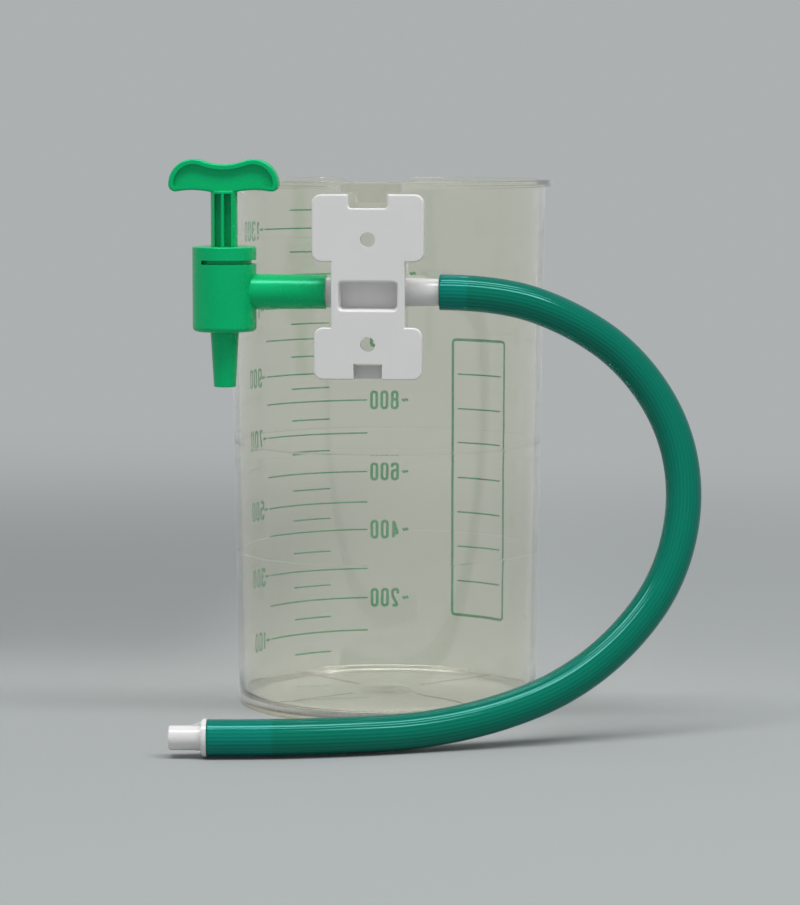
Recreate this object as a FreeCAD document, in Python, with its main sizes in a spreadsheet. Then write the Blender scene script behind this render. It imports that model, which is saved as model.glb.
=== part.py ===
import FreeCAD, Part
import math
import os
import re
import Sketcher

# Suction canister: a clear tapered cup with a white bracket plate on its front, a white vacuum tee
# behind the plate, a green push-pull tap on the tee's left end and a green hose on its right end.
# Millimetres, +Z up. The origin is the centre of the foot, and the bracket plate faces -Y.

Vector = FreeCAD.Vector
X_AXIS = Vector(1, 0, 0)
Y_AXIS = Vector(0, 1, 0)
Z_AXIS = Vector(0, 0, 1)
NO_TURN = (Z_AXIS, 0)
LAY_ON_X = (Y_AXIS, 90)
LAY_ON_MINUS_X = (Y_AXIS, -90)
LAY_ON_Y = (X_AXIS, -90)
TURN_45 = (Z_AXIS, 45)

SIZES = {
    # cup: outer radii at the foot and under the rim
    "canister_height": 185.0,
    "base_radius": 52.7,
    "top_radius": 55.5,
    "wall": 2.0,
    "floor_thickness": 2.0,
    "foot_height": 1.6,
    "foot_width": 3.0,
    "floor_corner": 2.5,
    # rim flange with its turned-down lip
    "flange_overhang": 2.2,
    "flange_thickness": 1.4,
    "lip_drop": 2.4,
    "lip_width": 0.9,
    # pouring dip in the rim, a little off the point opposite the bracket
    "dip_depth": 3.2,
    "dip_width": 21.2,
    "dip_slope": 5.5,
    "dip_round": 2.6,
    "dip_turn": 9.7,
    # stiffening lines moulded on the floor
    "floor_rib_count": 4,
    "floor_rib_inner": 16.5,
    "floor_rib_gap": 3.7,
    "floor_rib_width": 0.7,
    "floor_rib_height": 0.3,
    # clear T-shaped lug above the bracket plate
    "lug_head_width": 20.3,
    "lug_head_height": 2.7,
    "lug_head_proud": 5.0,
    "lug_stem_width": 10.2,
    "lug_stem_height": 3.6,
    "lug_stem_proud": 7.5,
    "lug_corner": 1.4,
    # clear side ribs that carry the plate
    "rib_outer": 11.9,
    "rib_thickness": 1.5,
    "rib_bottom_gap": 2.2,
    "rib_top_gap": 3.2,
    # bracket plate: its front face before the tee's axis, its lower edge under it, then its outline
    "plate_stand_off": 12.4,
    "plate_thickness": 3.0,
    "plate_below_tee": 28.6,
    "upper_wing_width": 37.2,
    "upper_wing_height": 22.3,
    "waist_width": 24.5,
    "waist_height": 21.8,
    "lower_wing_width": 36.0,
    "lower_wing_height": 17.3,
    "wing_corner": 3.1,
    "plate_edge_round": 0.5,
    "screw_hole": 5.0,
    "screw_spacing": 34.8,
    "lower_hole_height": 11.7,
    "top_notch_width": 13.2,
    "top_notch_depth": 4.6,
    "top_notch_corner": 1.2,
    # latch recess in the waist and latch pocket in the lower edge
    "recess_width": 19.7,
    "recess_height": 9.6,
    "recess_drop": 0.8,
    "recess_draft": 0.7,
    "recess_corner": 1.4,
    "recess_edge_round": 0.6,
    "shell": 1.2,
    "pocket_width": 9.6,
    "pocket_height": 5.4,
    "pocket_gap": 1.0,
    "fit_gap": 0.1,
    "push_gap": 0.05,
    "nose_round": 0.4,
    # vacuum tee: how far its axis is under the rim and before the cup's wall, and its ends
    "tee_drop": 36.6,
    "tee_stand_off": 6.64,
    "tee_diameter": 9.6,
    "tee_bore": 6.0,
    "tee_gap": 0.3,
    "left_shoulder": 15.1,
    "left_spigot_length": 12.0,
    "left_spigot_diameter": 8.6,
    "taper_start": 11.5,
    "right_shoulder": 23.0,
    "right_shoulder_diameter": 9.0,
    "right_spigot_length": 9.2,
    "stub_diameter": 7.0,
    "stub_bore": 4.4,
    "stub_inside": 2.0,
    # port through the cup's wall, with its rubber grommet
    "port_boss_diameter": 17.0,
    "port_boss_proud": 0.54,
    "port_boss_inside": 0.96,
    "port_hole": 11.0,
    "grommet_flange": 14.0,
    "grommet_flange_thickness": 0.9,
    # tap body, upright on the tee's left end
    "valve_offset": 49.4,
    "valve_diameter": 21.5,
    "valve_below_tee": 13.4,
    "valve_above_tee": 14.0,
    "valve_bottom_round": 1.6,
    "chamber_bore": 13.0,
    "seat_bore": 12.4,
    "seat_top_drop": 3.4,
    "seat_length": 7.0,
    "cap_bore": 16.0,
    "seal_shelf_depth": 8.9,
    "pipe_diameter": 12.1,
    "pipe_end_diameter": 11.4,
    "pipe_socket_depth": 12.6,
    "slot_depth": 4.7,
    "slot_height": 1.35,
    "slot_reach": 6.6,
    "spout_length": 18.7,
    "spout_top_diameter": 9.8,
    "spout_end_diameter": 7.4,
    "spout_bore": 5.8,
    # cap pressed into the tap body
    "cap_rim": 1.1,
    "cap_round": 0.5,
    "cap_hole_gap": 0.2,
    "cap_bead": 1.2,
    # plunger in its pulled-up place, and how far it pushes down
    "stem_diameter": 9.0,
    "plunger_travel": 8.0,
    "handle_rise": 18.8,
    "handle_height": 11.55,
    "handle_width": 37.1,
    "handle_lobe_radius": 8.5,
    "handle_corner_radius": 2.4,
    "handle_arch_radius": 30.0,
    "handle_sole_radius": 18.3,
    "handle_dip_radius": 20.5,
    "handle_thickness": 5.6,
    "handle_rim": 1.7,
    "handle_field_depth": 1.3,
    "handle_round": 0.7,
    "rail_width": 1.7,
    "centre_rib": 0.95,
    "stem_web": 1.6,
    "stem_top_chamfer": 0.5,
    "plug_diameter": 12.0,
    "plug_height": 3.3,
    "plug_top_gap": 0.2,
    "seal_section": 1.8,
    "seal_gap": 0.05,
    "stem_seal_height": 1.6,
    # hose and the connector in its free end
    "hose_diameter": 12.0,
    "hose_bore": 9.0,
    "connector_flange": 12.5,
    "connector_flange_thickness": 1.75,
    "connector_step": 0.5,
    "connector_barb_length": 20.8,
    "connector_bore": 5.5,
    "nozzle_length": 10.6,
    "nozzle_diameter": 8.0,
    "nozzle_root_diameter": 8.4,
    "nozzle_ramp_height": 1.2,
    "nozzle_ramp_length": 3.0,
    "nozzle_ramp_width": 2.0,
}

# Places that follow from the sizes above.
DERIVED = {
    "tee_height": "canister_height - tee_drop",
    "wall_at_tee": "base_radius + (top_radius - base_radius) * tee_height"
                   " / (canister_height - flange_thickness)",
    "tee_reach": "wall_at_tee + tee_stand_off",
    "port_boss_front": "wall_at_tee + port_boss_proud",
    "port_boss_back": "wall_at_tee - wall - port_boss_inside",
    "floor_top": "foot_height + floor_thickness",
    "floor_rib_outer": "base_radius - floor_rib_gap",
    "lug_head_reach": "top_radius + lug_head_proud",
    "lug_stem_reach": "top_radius + lug_stem_proud",
    "plate_front": "tee_reach + plate_stand_off",
    "plate_bottom": "tee_height - plate_below_tee",
    "valve_bottom": "tee_height - valve_below_tee",
    "valve_top": "tee_height + valve_above_tee",
    "seat_top": "tee_height - seat_top_drop",
    "seat_bottom": "seat_top - seat_length",
    "seal_shelf": "valve_top - seal_shelf_depth",
    "slot_bottom": "valve_top - slot_depth",
    "plug_top": "seal_shelf - plug_top_gap",
    "groove_floor": "seat_bore / 2 - 2 * seal_gap - seal_section",
    "handle_bottom": "valve_top + handle_rise",
}

# The hose's route in millimetres, from the tee's shoulder round to the floor in front of the cup.
HOSE_ROUTE = [
    (23.0, -61.6, 148.4),
    (43.0, -61.6, 148.4),
    (67.0, -53.0, 139.5),
    (87.0, -47.0, 125.0),
    (101.5, -47.0, 103.0),
    (106.0, -52.0, 78.5),
    (100.5, -61.5, 53.5),
    (86.5, -71.5, 34.0),
    (67.0, -80.5, 19.0),
    (44.0, -89.0, 10.5),
    (19.5, -98.5, 6.5),
    (-4.0, -108.0, 6.5),
    (-29.5, -114.5, 6.5),
    (-48.5, -116.0, 6.5),
]
BEND_SHARE = 0.45

doc = FreeCAD.newDocument("suction_canister")
sheet = doc.addObject("Spreadsheet::Sheet", "sizes")
for row, (alias, value) in enumerate(SIZES.items(), start=1):
    sheet.set(f"A{row}", alias)
    sheet.set(f"B{row}", str(value))
    sheet.setAlias(f"B{row}", alias)
doc.recompute()


def spelled(expression, prefix=""):
    """An expression with its derived places written out as the sheet's own names."""
    def replace(word):
        name = word.group()
        if name in DERIVED:
            return "(" + spelled(DERIVED[name], prefix) + ")"
        return prefix + name
    return re.sub(r"[a-z][a-z_]+", replace, str(expression))


def number(expression):
    """The value in millimetres of an expression over the sheet's names."""
    value = sheet.evalExpression(spelled(expression))
    return float(getattr(value, "Value", value))


def bound(expression):
    """The same expression as another object of the document writes it."""
    return spelled(expression, "sizes.")


def bind(item, path, expression):
    item.setExpression(path, bound(expression))


def place(item, position, turn=NO_TURN):
    """Turn an item about an axis, then tie its position to the sheet."""
    axis, angle = turn
    base = Vector(*[number(part) for part in position])
    item.Placement = FreeCAD.Placement(base, FreeCAD.Rotation(axis, angle))
    for letter, part in zip("xyz", position):
        bind(item, f"Placement.Base.{letter}", part)


def new_body(name):
    body = doc.addObject("PartDesign::Body", name)
    body.Label = name
    return body


def origin_plane(body, role):
    return next(feature for feature in body.Origin.OriginFeatures if feature.Role == role)


def bound_outline(sketch, points):
    """A closed outline of straight lines whose corners are tied to expressions."""
    corners = [(number(across), number(along)) for across, along in points]
    count = len(points)
    for index, (start, end) in enumerate(zip(corners, corners[1:] + corners[:1])):
        sketch.addGeometry(Part.LineSegment(Vector(*start, 0), Vector(*end, 0)), False)
    for index in range(count):
        sketch.addConstraint(Sketcher.Constraint("Coincident", index, 2, (index + 1) % count, 1))
    for index, (corner, point) in enumerate(zip(corners, points)):
        for kind, value, expression in zip(("DistanceX", "DistanceY"), corner, point):
            constraint = sketch.addConstraint(Sketcher.Constraint(kind, -1, 1, index, 1, value))
            if str(expression) != "0":
                bind(sketch, f"Constraints[{constraint}]", expression)


def blank_sketch(body, name, height):
    """An empty sketch on a body's upright XZ plane, moved forwards (to -Y) by a height."""
    sketch = body.newObject("Sketcher::SketchObject", name)
    sketch.AttachmentSupport = [(origin_plane(body, "XZ_Plane"), "")]
    sketch.MapMode = "FlatFace"
    bind(sketch, "AttachmentOffset.Base.z", height)
    return sketch


def body_sketch(body, name, points, height="0"):
    sketch = blank_sketch(body, name, height)
    bound_outline(sketch, points)
    return sketch


def turned(body, name, points, cut=False):
    """Turn a half section about the body's upright axis, as added or removed material."""
    sketch = body_sketch(body, name + "_section", points)
    feature = body.newObject("PartDesign::Groove" if cut else "PartDesign::Revolution", name)
    feature.Profile = sketch
    feature.ReferenceAxis = (sketch, ["V_Axis"])
    feature.Angle = 360
    sketch.Visibility = False
    doc.recompute()
    return feature


def pushed(body, name, sketch, length, cut=False, reversed_way=False):
    """Push a sketch through a length, as added or removed material."""
    feature = body.newObject("PartDesign::Pocket" if cut else "PartDesign::Pad", name)
    feature.Profile = sketch
    bind(feature, "Length", length)
    feature.Reversed = reversed_way
    doc.recompute()
    return feature


def extruded(body, name, points, height, length, cut=False, reversed_way=False):
    """Push an outline in the upright plane across the plate, from a distance in front of it."""
    sketch = body_sketch(body, name + "_outline", points, height)
    return pushed(body, name, sketch, length, cut, reversed_way)


def primitive(body, kind, name, sizes, position, turn=NO_TURN):
    """An additive or subtractive box, cylinder, cone or torus of a body."""
    feature = body.newObject("PartDesign::" + kind, name)
    for path, expression in sizes.items():
        bind(feature, path, expression)
    place(feature, position, turn)
    doc.recompute()
    return feature


def rounded(body, name, radius, chosen):
    """Round the edges of a body's tip that a test picks out."""
    base = body.Tip
    edges = [f"Edge{index}" for index, edge in enumerate(base.Shape.Edges, start=1) if chosen(edge)]
    if not edges:
        raise RuntimeError(f"no edge for {name}")
    feature = body.newObject("PartDesign::Fillet", name)
    feature.Base = (base, edges)
    bind(feature, "Radius", radius)
    doc.recompute()
    return feature


def near(value, target, tolerance=0.02):
    return abs(value - target) < tolerance


def is_circle(edge, radius, height, axis="z"):
    """A round edge of a given radius at a given coordinate along an axis."""
    return (isinstance(edge.Curve, Part.Circle) and near(edge.Curve.Radius, radius)
            and near(getattr(edge.Curve.Center, axis), height))


def is_line_along(edge, axis):
    """A straight edge that runs along one of the axes x, y or z."""
    if not isinstance(edge.Curve, Part.Line):
        return False
    return abs(getattr(edge.tangentAt(edge.FirstParameter), axis)) > 0.999


def build_cup():
    """The clear cup: solid outside with lug and ribs, hollowed by its cavity, then foot, port and floor."""
    body = new_body("cup")
    build_lug(body)
    build_ribs(body)
    turned(body, "outside_turn", [
        ("0", "foot_height"),
        ("base_radius - foot_width", "foot_height"),
        ("base_radius - foot_width", "0"),
        ("base_radius", "0"),
        ("top_radius", "canister_height - flange_thickness"),
        ("top_radius + flange_overhang - lip_width", "canister_height - flange_thickness"),
        ("top_radius + flange_overhang - lip_width", "canister_height - lip_drop"),
        ("top_radius + flange_overhang", "canister_height - lip_drop"),
        ("top_radius + flange_overhang", "canister_height"),
        ("0", "canister_height"),
    ])
    turned(body, "cavity_turn", [
        ("0", "floor_top"),
        ("base_radius - wall", "floor_top"),
        ("top_radius - wall", "canister_height"),
        ("0", "canister_height"),
    ], cut=True)
    inner_foot = number("base_radius - wall")
    rim = number("top_radius + flange_overhang")
    height = number("canister_height")
    rounded(body, "floor_corner_round", "floor_corner",
            lambda edge: is_circle(edge, inner_foot, number("floor_top")))
    rounded(body, "foot_round", "foot_width / 4", lambda edge: is_circle(edge, number("base_radius"), 0))
    rounded(body, "rim_round", "flange_thickness / 3", lambda edge: is_circle(edge, rim, height))
    build_port(body)

    rib = primitive(body, "AdditiveBox", "floor_rib", {
        "Length": "floor_rib_outer - floor_rib_inner",
        "Width": "floor_rib_width",
        "Height": "floor_rib_height + floor_thickness / 2",
    }, ("(floor_rib_inner + floor_rib_width / 2) * 0.5 ^ 0.5",
        "(floor_rib_inner - floor_rib_width / 2) * 0.5 ^ 0.5",
        "foot_height + floor_thickness / 2"), TURN_45)
    pattern = body.newObject("PartDesign::PolarPattern", "floor_ribs")
    pattern.Originals = [rib]
    pattern.Axis = (next(f for f in body.Origin.OriginFeatures if f.Role == "Z_Axis"), [""])
    pattern.Angle = 360
    bind(pattern, "Occurrences", "floor_rib_count")
    body.Tip = pattern
    doc.recompute()
    return body


def build_lug(body):
    """The T-shaped lug under the rim: a wide head over the plate's edge and a stem in its notch."""
    root = "top_radius - wall / 2"
    head_bottom = "canister_height - flange_thickness / 2 - lug_head_height"
    primitive(body, "AdditiveBox", "lug_head", {
        "Length": "lug_head_width",
        "Width": "lug_head_reach - (" + root + ") + wall",
        "Height": "lug_head_height",
    }, ("-lug_head_width / 2", "-lug_head_reach", head_bottom))
    low = number(head_bottom)
    half = number("lug_head_width / 2")
    rounded(body, "lug_head_round", "lug_corner", lambda edge: is_line_along(edge, "y")
            and near(edge.CenterOfMass.z, low) and near(abs(edge.CenterOfMass.x), half))
    primitive(body, "AdditiveBox", "lug_stem", {
        "Length": "lug_stem_width",
        "Width": "lug_stem_reach - (" + root + ") + wall",
        "Height": "lug_stem_height + lug_head_height / 2",
    }, ("-lug_stem_width / 2", "-lug_stem_reach", head_bottom + " - lug_stem_height"))
    foot = number(head_bottom + " - lug_stem_height")
    half_stem = number("lug_stem_width / 2")
    rounded(body, "lug_stem_round", "lug_corner", lambda edge: is_line_along(edge, "y")
            and near(edge.CenterOfMass.z, foot) and near(abs(edge.CenterOfMass.x), half_stem))


def build_ribs(body):
    """Two upright ribs from the wall to the plate's back, each with a U-notch for the tee."""
    rib_bottom = "plate_bottom + rib_bottom_gap"
    rib_top = "plate_bottom + lower_wing_height + waist_height + upper_wing_height - rib_top_gap"
    reach = "plate_front - plate_thickness"
    notch = "tee_diameter / 2 + tee_gap"
    for side, start in (("left", "-rib_outer"), ("right", "rib_outer - rib_thickness")):
        primitive(body, "AdditiveBox", f"{side}_rib", {
            "Length": "rib_thickness",
            "Width": reach + " - base_radius / 2",
            "Height": rib_top + " - (" + rib_bottom + ")",
        }, (start, "-(" + reach + ")", rib_bottom))
    primitive(body, "SubtractiveCylinder", "rib_notch_round", {
        "Radius": notch, "Height": "2 * rib_outer",
    }, ("-rib_outer", "-tee_reach", "tee_height"), LAY_ON_X)
    primitive(body, "SubtractiveBox", "rib_notch_mouth", {
        "Length": "2 * rib_outer", "Width": reach + " - tee_reach + 1", "Height": "2 * (" + notch + ")",
    }, ("-rib_outer", "-(" + reach + ") - 1", "tee_height - (" + notch + ")"))


def build_port(body):
    """A flat-faced boss through the wall behind the tee, bored for the grommet."""
    primitive(body, "AdditiveCylinder", "port_boss", {
        "Radius": "port_boss_diameter / 2", "Height": "port_boss_front - port_boss_back",
    }, ("0", "-port_boss_front", "tee_height"), LAY_ON_Y)
    primitive(body, "SubtractiveCylinder", "port_bore", {
        "Radius": "port_hole / 2", "Height": "port_boss_front - port_boss_back + 2 * wall",
    }, ("0", "-port_boss_front - wall", "tee_height"), LAY_ON_Y)


def dip_prism(name, drop):
    """The pouring dip's filled outline, pushed out through the rim's far side, lowered by a drop."""
    sketch = doc.addObject("Sketcher::SketchObject", name + "_outline")
    top = "canister_height + dip_depth"
    rim = "canister_height - (" + drop + ")"
    outline = [
        ("-dip_width / 2 - dip_slope / 2 - dip_width", top),
        ("-dip_width / 2 - dip_slope / 2 - dip_width", rim),
        ("-dip_width / 2 - dip_slope / 2", rim),
        ("-dip_width / 2 + dip_slope / 2", rim + " - dip_depth"),
        ("dip_width / 2 - dip_slope / 2", rim + " - dip_depth"),
        ("dip_width / 2 + dip_slope / 2", rim),
        ("dip_width / 2 + dip_slope / 2 + dip_width", rim),
        ("dip_width / 2 + dip_slope / 2 + dip_width", top),
    ]
    bound_outline(sketch, outline)
    sketch.Placement = FreeCAD.Placement(Vector(0, 0, 0), FreeCAD.Rotation(X_AXIS, 90))
    prism = doc.addObject("Part::Extrusion", name + "_prism")
    prism.Base = sketch
    prism.DirMode = "Custom"
    prism.Dir = Y_AXIS
    prism.Solid = True
    bind(prism, "LengthFwd", "top_radius + flange_overhang + wall")
    doc.recompute()
    low = number(rim)
    corners = []
    for index, edge in enumerate(prism.Shape.Edges, start=1):
        middle = edge.CenterOfMass
        inside = abs(middle.x) < number("dip_width / 2 + dip_slope / 2") + 0.01
        if is_line_along(edge, "y") and inside and middle.z < low + 0.01:
            corners.append((index, number("dip_round"), number("dip_round")))
    smooth = doc.addObject("Part::Fillet", name)
    smooth.Base = prism
    smooth.Edges = corners
    place(smooth, ("0", "0", "0"), (Z_AXIS, number("dip_turn")))
    doc.recompute()
    return smooth


def join(kind, name, base, tool):
    item = doc.addObject("Part::" + kind, name)
    item.Base = base
    item.Tool = tool
    item.Label = name
    doc.recompute()
    return item


def round_bar(name, radius, height, base):
    item = doc.addObject("Part::Cylinder", name)
    bind(item, "Radius", radius)
    bind(item, "Height", height)
    place(item, base)
    doc.recompute()
    return item


def build_canister():
    """The cup with the rim bent down into a pouring dip on the far side."""
    cup = build_cup()
    dip = dip_prism("dip", "0")
    lowered = dip_prism("lowered_dip", "flange_thickness")
    low = "canister_height - dip_depth - 2 * flange_thickness"
    tall = "dip_depth + 2 * flange_thickness"
    outside = round_bar("rim_outside", "top_radius + flange_overhang", tall, ("0", "0", low))
    inside = round_bar("rim_inside", "top_radius - wall", tall, ("0", "0", low))
    ring = join("Cut", "rim_ring", outside, inside)
    strip = join("Cut", "dip_strip", lowered, dip)
    lip = join("Common", "dip_lip", ring, strip)
    notched = join("Cut", "notched_cup", cup, dip_prism("cup_dip", "0"))
    return join("Fuse", "canister", notched, lip)


def build_plate():
    """The white bracket plate: wings, waist, screw holes, notch, latch recess and latch pocket."""
    body = new_body("bracket_plate")
    back = "plate_front - plate_thickness"
    waist_bottom = "plate_bottom + lower_wing_height"
    waist_top = waist_bottom + " + waist_height"
    top = waist_top + " + upper_wing_height"
    notch_floor = top + " - top_notch_depth"
    right_half = [
        ("lower_wing_width / 2", "plate_bottom"),
        ("lower_wing_width / 2", waist_bottom),
        ("waist_width / 2", waist_bottom),
        ("waist_width / 2", waist_top),
        ("upper_wing_width / 2", waist_top),
        ("upper_wing_width / 2", top),
        ("top_notch_width / 2", top),
        ("top_notch_width / 2", notch_floor),
    ]
    left_half = [("-" + across, up) for across, up in reversed(right_half)]
    extruded(body, "plate", right_half + left_half, back, "plate_thickness")

    wings = [number("lower_wing_width / 2"), number("upper_wing_width / 2")]
    rounded(body, "wing_corners", "wing_corner", lambda edge: is_line_along(edge, "y")
            and min(abs(abs(edge.CenterOfMass.x) - half) for half in wings) < 0.02)
    notch_half = number("top_notch_width / 2")
    rounded(body, "notch_corners", "top_notch_corner", lambda edge: is_line_along(edge, "y")
            and near(abs(edge.CenterOfMass.x), notch_half) and near(edge.CenterOfMass.z, number(notch_floor)))
    front = -number("plate_front")
    rounded(body, "front_edge", "plate_edge_round", lambda edge: near(edge.BoundBox.YMin, front)
            and near(edge.BoundBox.YMax, front))

    # hollow housings of the recess and of the lower pocket stand behind the plate
    recess_middle = "tee_height - recess_drop"
    recess_floor = "tee_reach + tee_diameter / 2 + tee_gap"
    housing_half = "rib_outer - rib_thickness - fit_gap"
    extruded(body, "recess_housing", [
        (housing_half, recess_middle + " - recess_height / 2 - shell"),
        (housing_half, recess_middle + " + recess_height / 2 + shell"),
        ("-(" + housing_half + ")", recess_middle + " + recess_height / 2 + shell"),
        ("-(" + housing_half + ")", recess_middle + " - recess_height / 2 - shell"),
    ], recess_floor, back + " - (" + recess_floor + ")")
    extruded(body, "pocket_housing", [
        ("pocket_width / 2 + shell", "plate_bottom"),
        ("pocket_width / 2 + shell", "plate_bottom + pocket_height"),
        ("-pocket_width / 2 - shell", "plate_bottom + pocket_height"),
        ("-pocket_width / 2 - shell", "plate_bottom"),
    ], recess_floor, back + " - (" + recess_floor + ")")

    # the recess narrows towards its floor, so that the moulding leaves its tool
    recess = body.newObject("PartDesign::SubtractiveLoft", "latch_recess")
    mouth = body_sketch(body, "recess_mouth",
                        rectangle("recess_width / 2", "recess_height / 2", recess_middle), "plate_front")
    depth = body_sketch(body, "recess_base",
                        rectangle("recess_width / 2 - recess_draft", "recess_height / 2 - recess_draft",
                                  recess_middle), recess_floor + " + shell")
    recess.Profile = mouth
    recess.Sections = [depth]
    doc.recompute()
    body.Tip = recess
    doc.recompute()
    rounded(body, "recess_corners", "recess_corner", slanted_corner)
    rounded(body, "recess_lip", "recess_edge_round", lambda edge: near(edge.BoundBox.YMin, front)
            and near(edge.BoundBox.YMax, front) and in_recess(edge))
    extruded(body, "latch_pocket", [
        ("pocket_width / 2", "plate_bottom - shell"),
        ("pocket_width / 2", "plate_bottom + pocket_height"),
        ("-pocket_width / 2", "plate_bottom + pocket_height"),
        ("-pocket_width / 2", "plate_bottom - shell"),
    ], recess_floor + " + shell", "plate_front - (" + recess_floor + ")", cut=True, reversed_way=True)
    primitive(body, "SubtractiveBox", "pocket_sight_gap", {
        "Length": "pocket_width", "Width": "2 * shell", "Height": "pocket_gap",
    }, ("-pocket_width / 2", "-(" + recess_floor + ") - 1.5 * shell",
        "plate_bottom + pocket_height - pocket_gap"))

    for name, height in (("lower_hole", "plate_bottom + lower_hole_height"),
                         ("upper_hole", "plate_bottom + lower_hole_height + screw_spacing")):
        primitive(body, "SubtractiveCylinder", name, {
            "Radius": "screw_hole / 2", "Height": "2 * plate_thickness",
        }, ("0", "-plate_front - plate_thickness / 2", height), LAY_ON_Y)
    return body


def rectangle(half_width, half_height, middle):
    return [
        (half_width, middle + " - (" + half_height + ")"),
        (half_width, middle + " + (" + half_height + ")"),
        ("-(" + half_width + ")", middle + " + (" + half_height + ")"),
        ("-(" + half_width + ")", middle + " - (" + half_height + ")"),
    ]


def slanted_corner(edge):
    """One of the four drafted corner edges that run from the recess's mouth to its floor."""
    way = edge.tangentAt(edge.FirstParameter)
    return in_recess(edge) and abs(way.y) > 0.9 and abs(way.x) > 0.01 and abs(way.z) > 0.01


def in_recess(edge):
    """Whether an edge lies within the latch recess's mouth, seen from the front."""
    aside = abs(edge.CenterOfMass.x)
    above = abs(edge.CenterOfMass.z - number("tee_height - recess_drop"))
    return aside < number("recess_width / 2") + 0.01 and above < number("recess_height / 2") + 0.01


def build_tee():
    """The white vacuum tee: a through tube with a spigot at each end and a stub into the cup."""
    body = new_body("vacuum_tee")
    axis = ("-tee_reach", "tee_height")
    primitive(body, "AdditiveCylinder", "middle_tube", {
        "Radius": "tee_diameter / 2", "Height": "left_shoulder + taper_start",
    }, ("-left_shoulder", *axis), LAY_ON_X)
    primitive(body, "AdditiveCone", "right_taper", {
        "Radius1": "tee_diameter / 2", "Radius2": "right_shoulder_diameter / 2",
        "Height": "right_shoulder - taper_start",
    }, ("taper_start", *axis), LAY_ON_X)
    primitive(body, "AdditiveCylinder", "left_spigot", {
        "Radius": "left_spigot_diameter / 2", "Height": "left_spigot_length",
    }, ("-left_shoulder - left_spigot_length", *axis), LAY_ON_X)
    primitive(body, "AdditiveCylinder", "right_spigot", {
        "Radius": "hose_bore / 2 - push_gap", "Height": "right_spigot_length",
    }, ("right_shoulder", *axis), LAY_ON_X)
    primitive(body, "AdditiveCylinder", "wall_stub", {
        "Radius": "stub_diameter / 2",
        "Height": "tee_reach - port_boss_back + grommet_flange_thickness + stub_inside",
    }, ("0", *axis), LAY_ON_Y)
    ends = [number("-left_shoulder - left_spigot_length"), number("right_shoulder + right_spigot_length")]
    rounded(body, "spigot_noses", "nose_round", lambda edge: isinstance(edge.Curve, Part.Circle)
            and min(abs(edge.Curve.Center.x - end) for end in ends) < 0.02)
    primitive(body, "SubtractiveCylinder", "through_bore", {
        "Radius": "tee_bore / 2",
        "Height": "left_shoulder + left_spigot_length + right_shoulder + right_spigot_length + 2",
    }, ("-left_shoulder - left_spigot_length - 1", *axis), LAY_ON_X)
    primitive(body, "SubtractiveCylinder", "stub_passage", {
        "Radius": "stub_bore / 2", "Height": "tee_reach",
    }, ("0", *axis), LAY_ON_Y)
    return body


def build_grommet():
    """The rubber grommet between the tee's stub and the cup's port, flanged on both sides."""
    body = new_body("port_grommet")
    primitive(body, "AdditiveCylinder", "sleeve", {
        "Radius": "port_hole / 2", "Height": "port_boss_front - port_boss_back",
    }, ("0", "-port_boss_front", "tee_height"), LAY_ON_Y)
    for name, start in (("outer_flange", "-port_boss_front - grommet_flange_thickness"),
                        ("inner_flange", "-port_boss_back")):
        primitive(body, "AdditiveCylinder", name, {
            "Radius": "grommet_flange / 2", "Height": "grommet_flange_thickness",
        }, ("0", start, "tee_height"), LAY_ON_Y)
    primitive(body, "SubtractiveCylinder", "sleeve_bore", {
        "Radius": "stub_diameter / 2 + push_gap",
        "Height": "port_boss_front - port_boss_back + 4 * grommet_flange_thickness",
    }, ("0", "-port_boss_front - 2 * grommet_flange_thickness", "tee_height"), LAY_ON_Y)
    return body


def set_on_valve_axis(body):
    """Bodies of the tap are drawn about their own upright axis and stand on the tee's left end."""
    place(body, ("-valve_offset", "-tee_reach", "0"))
    doc.recompute()
    return body


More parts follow.
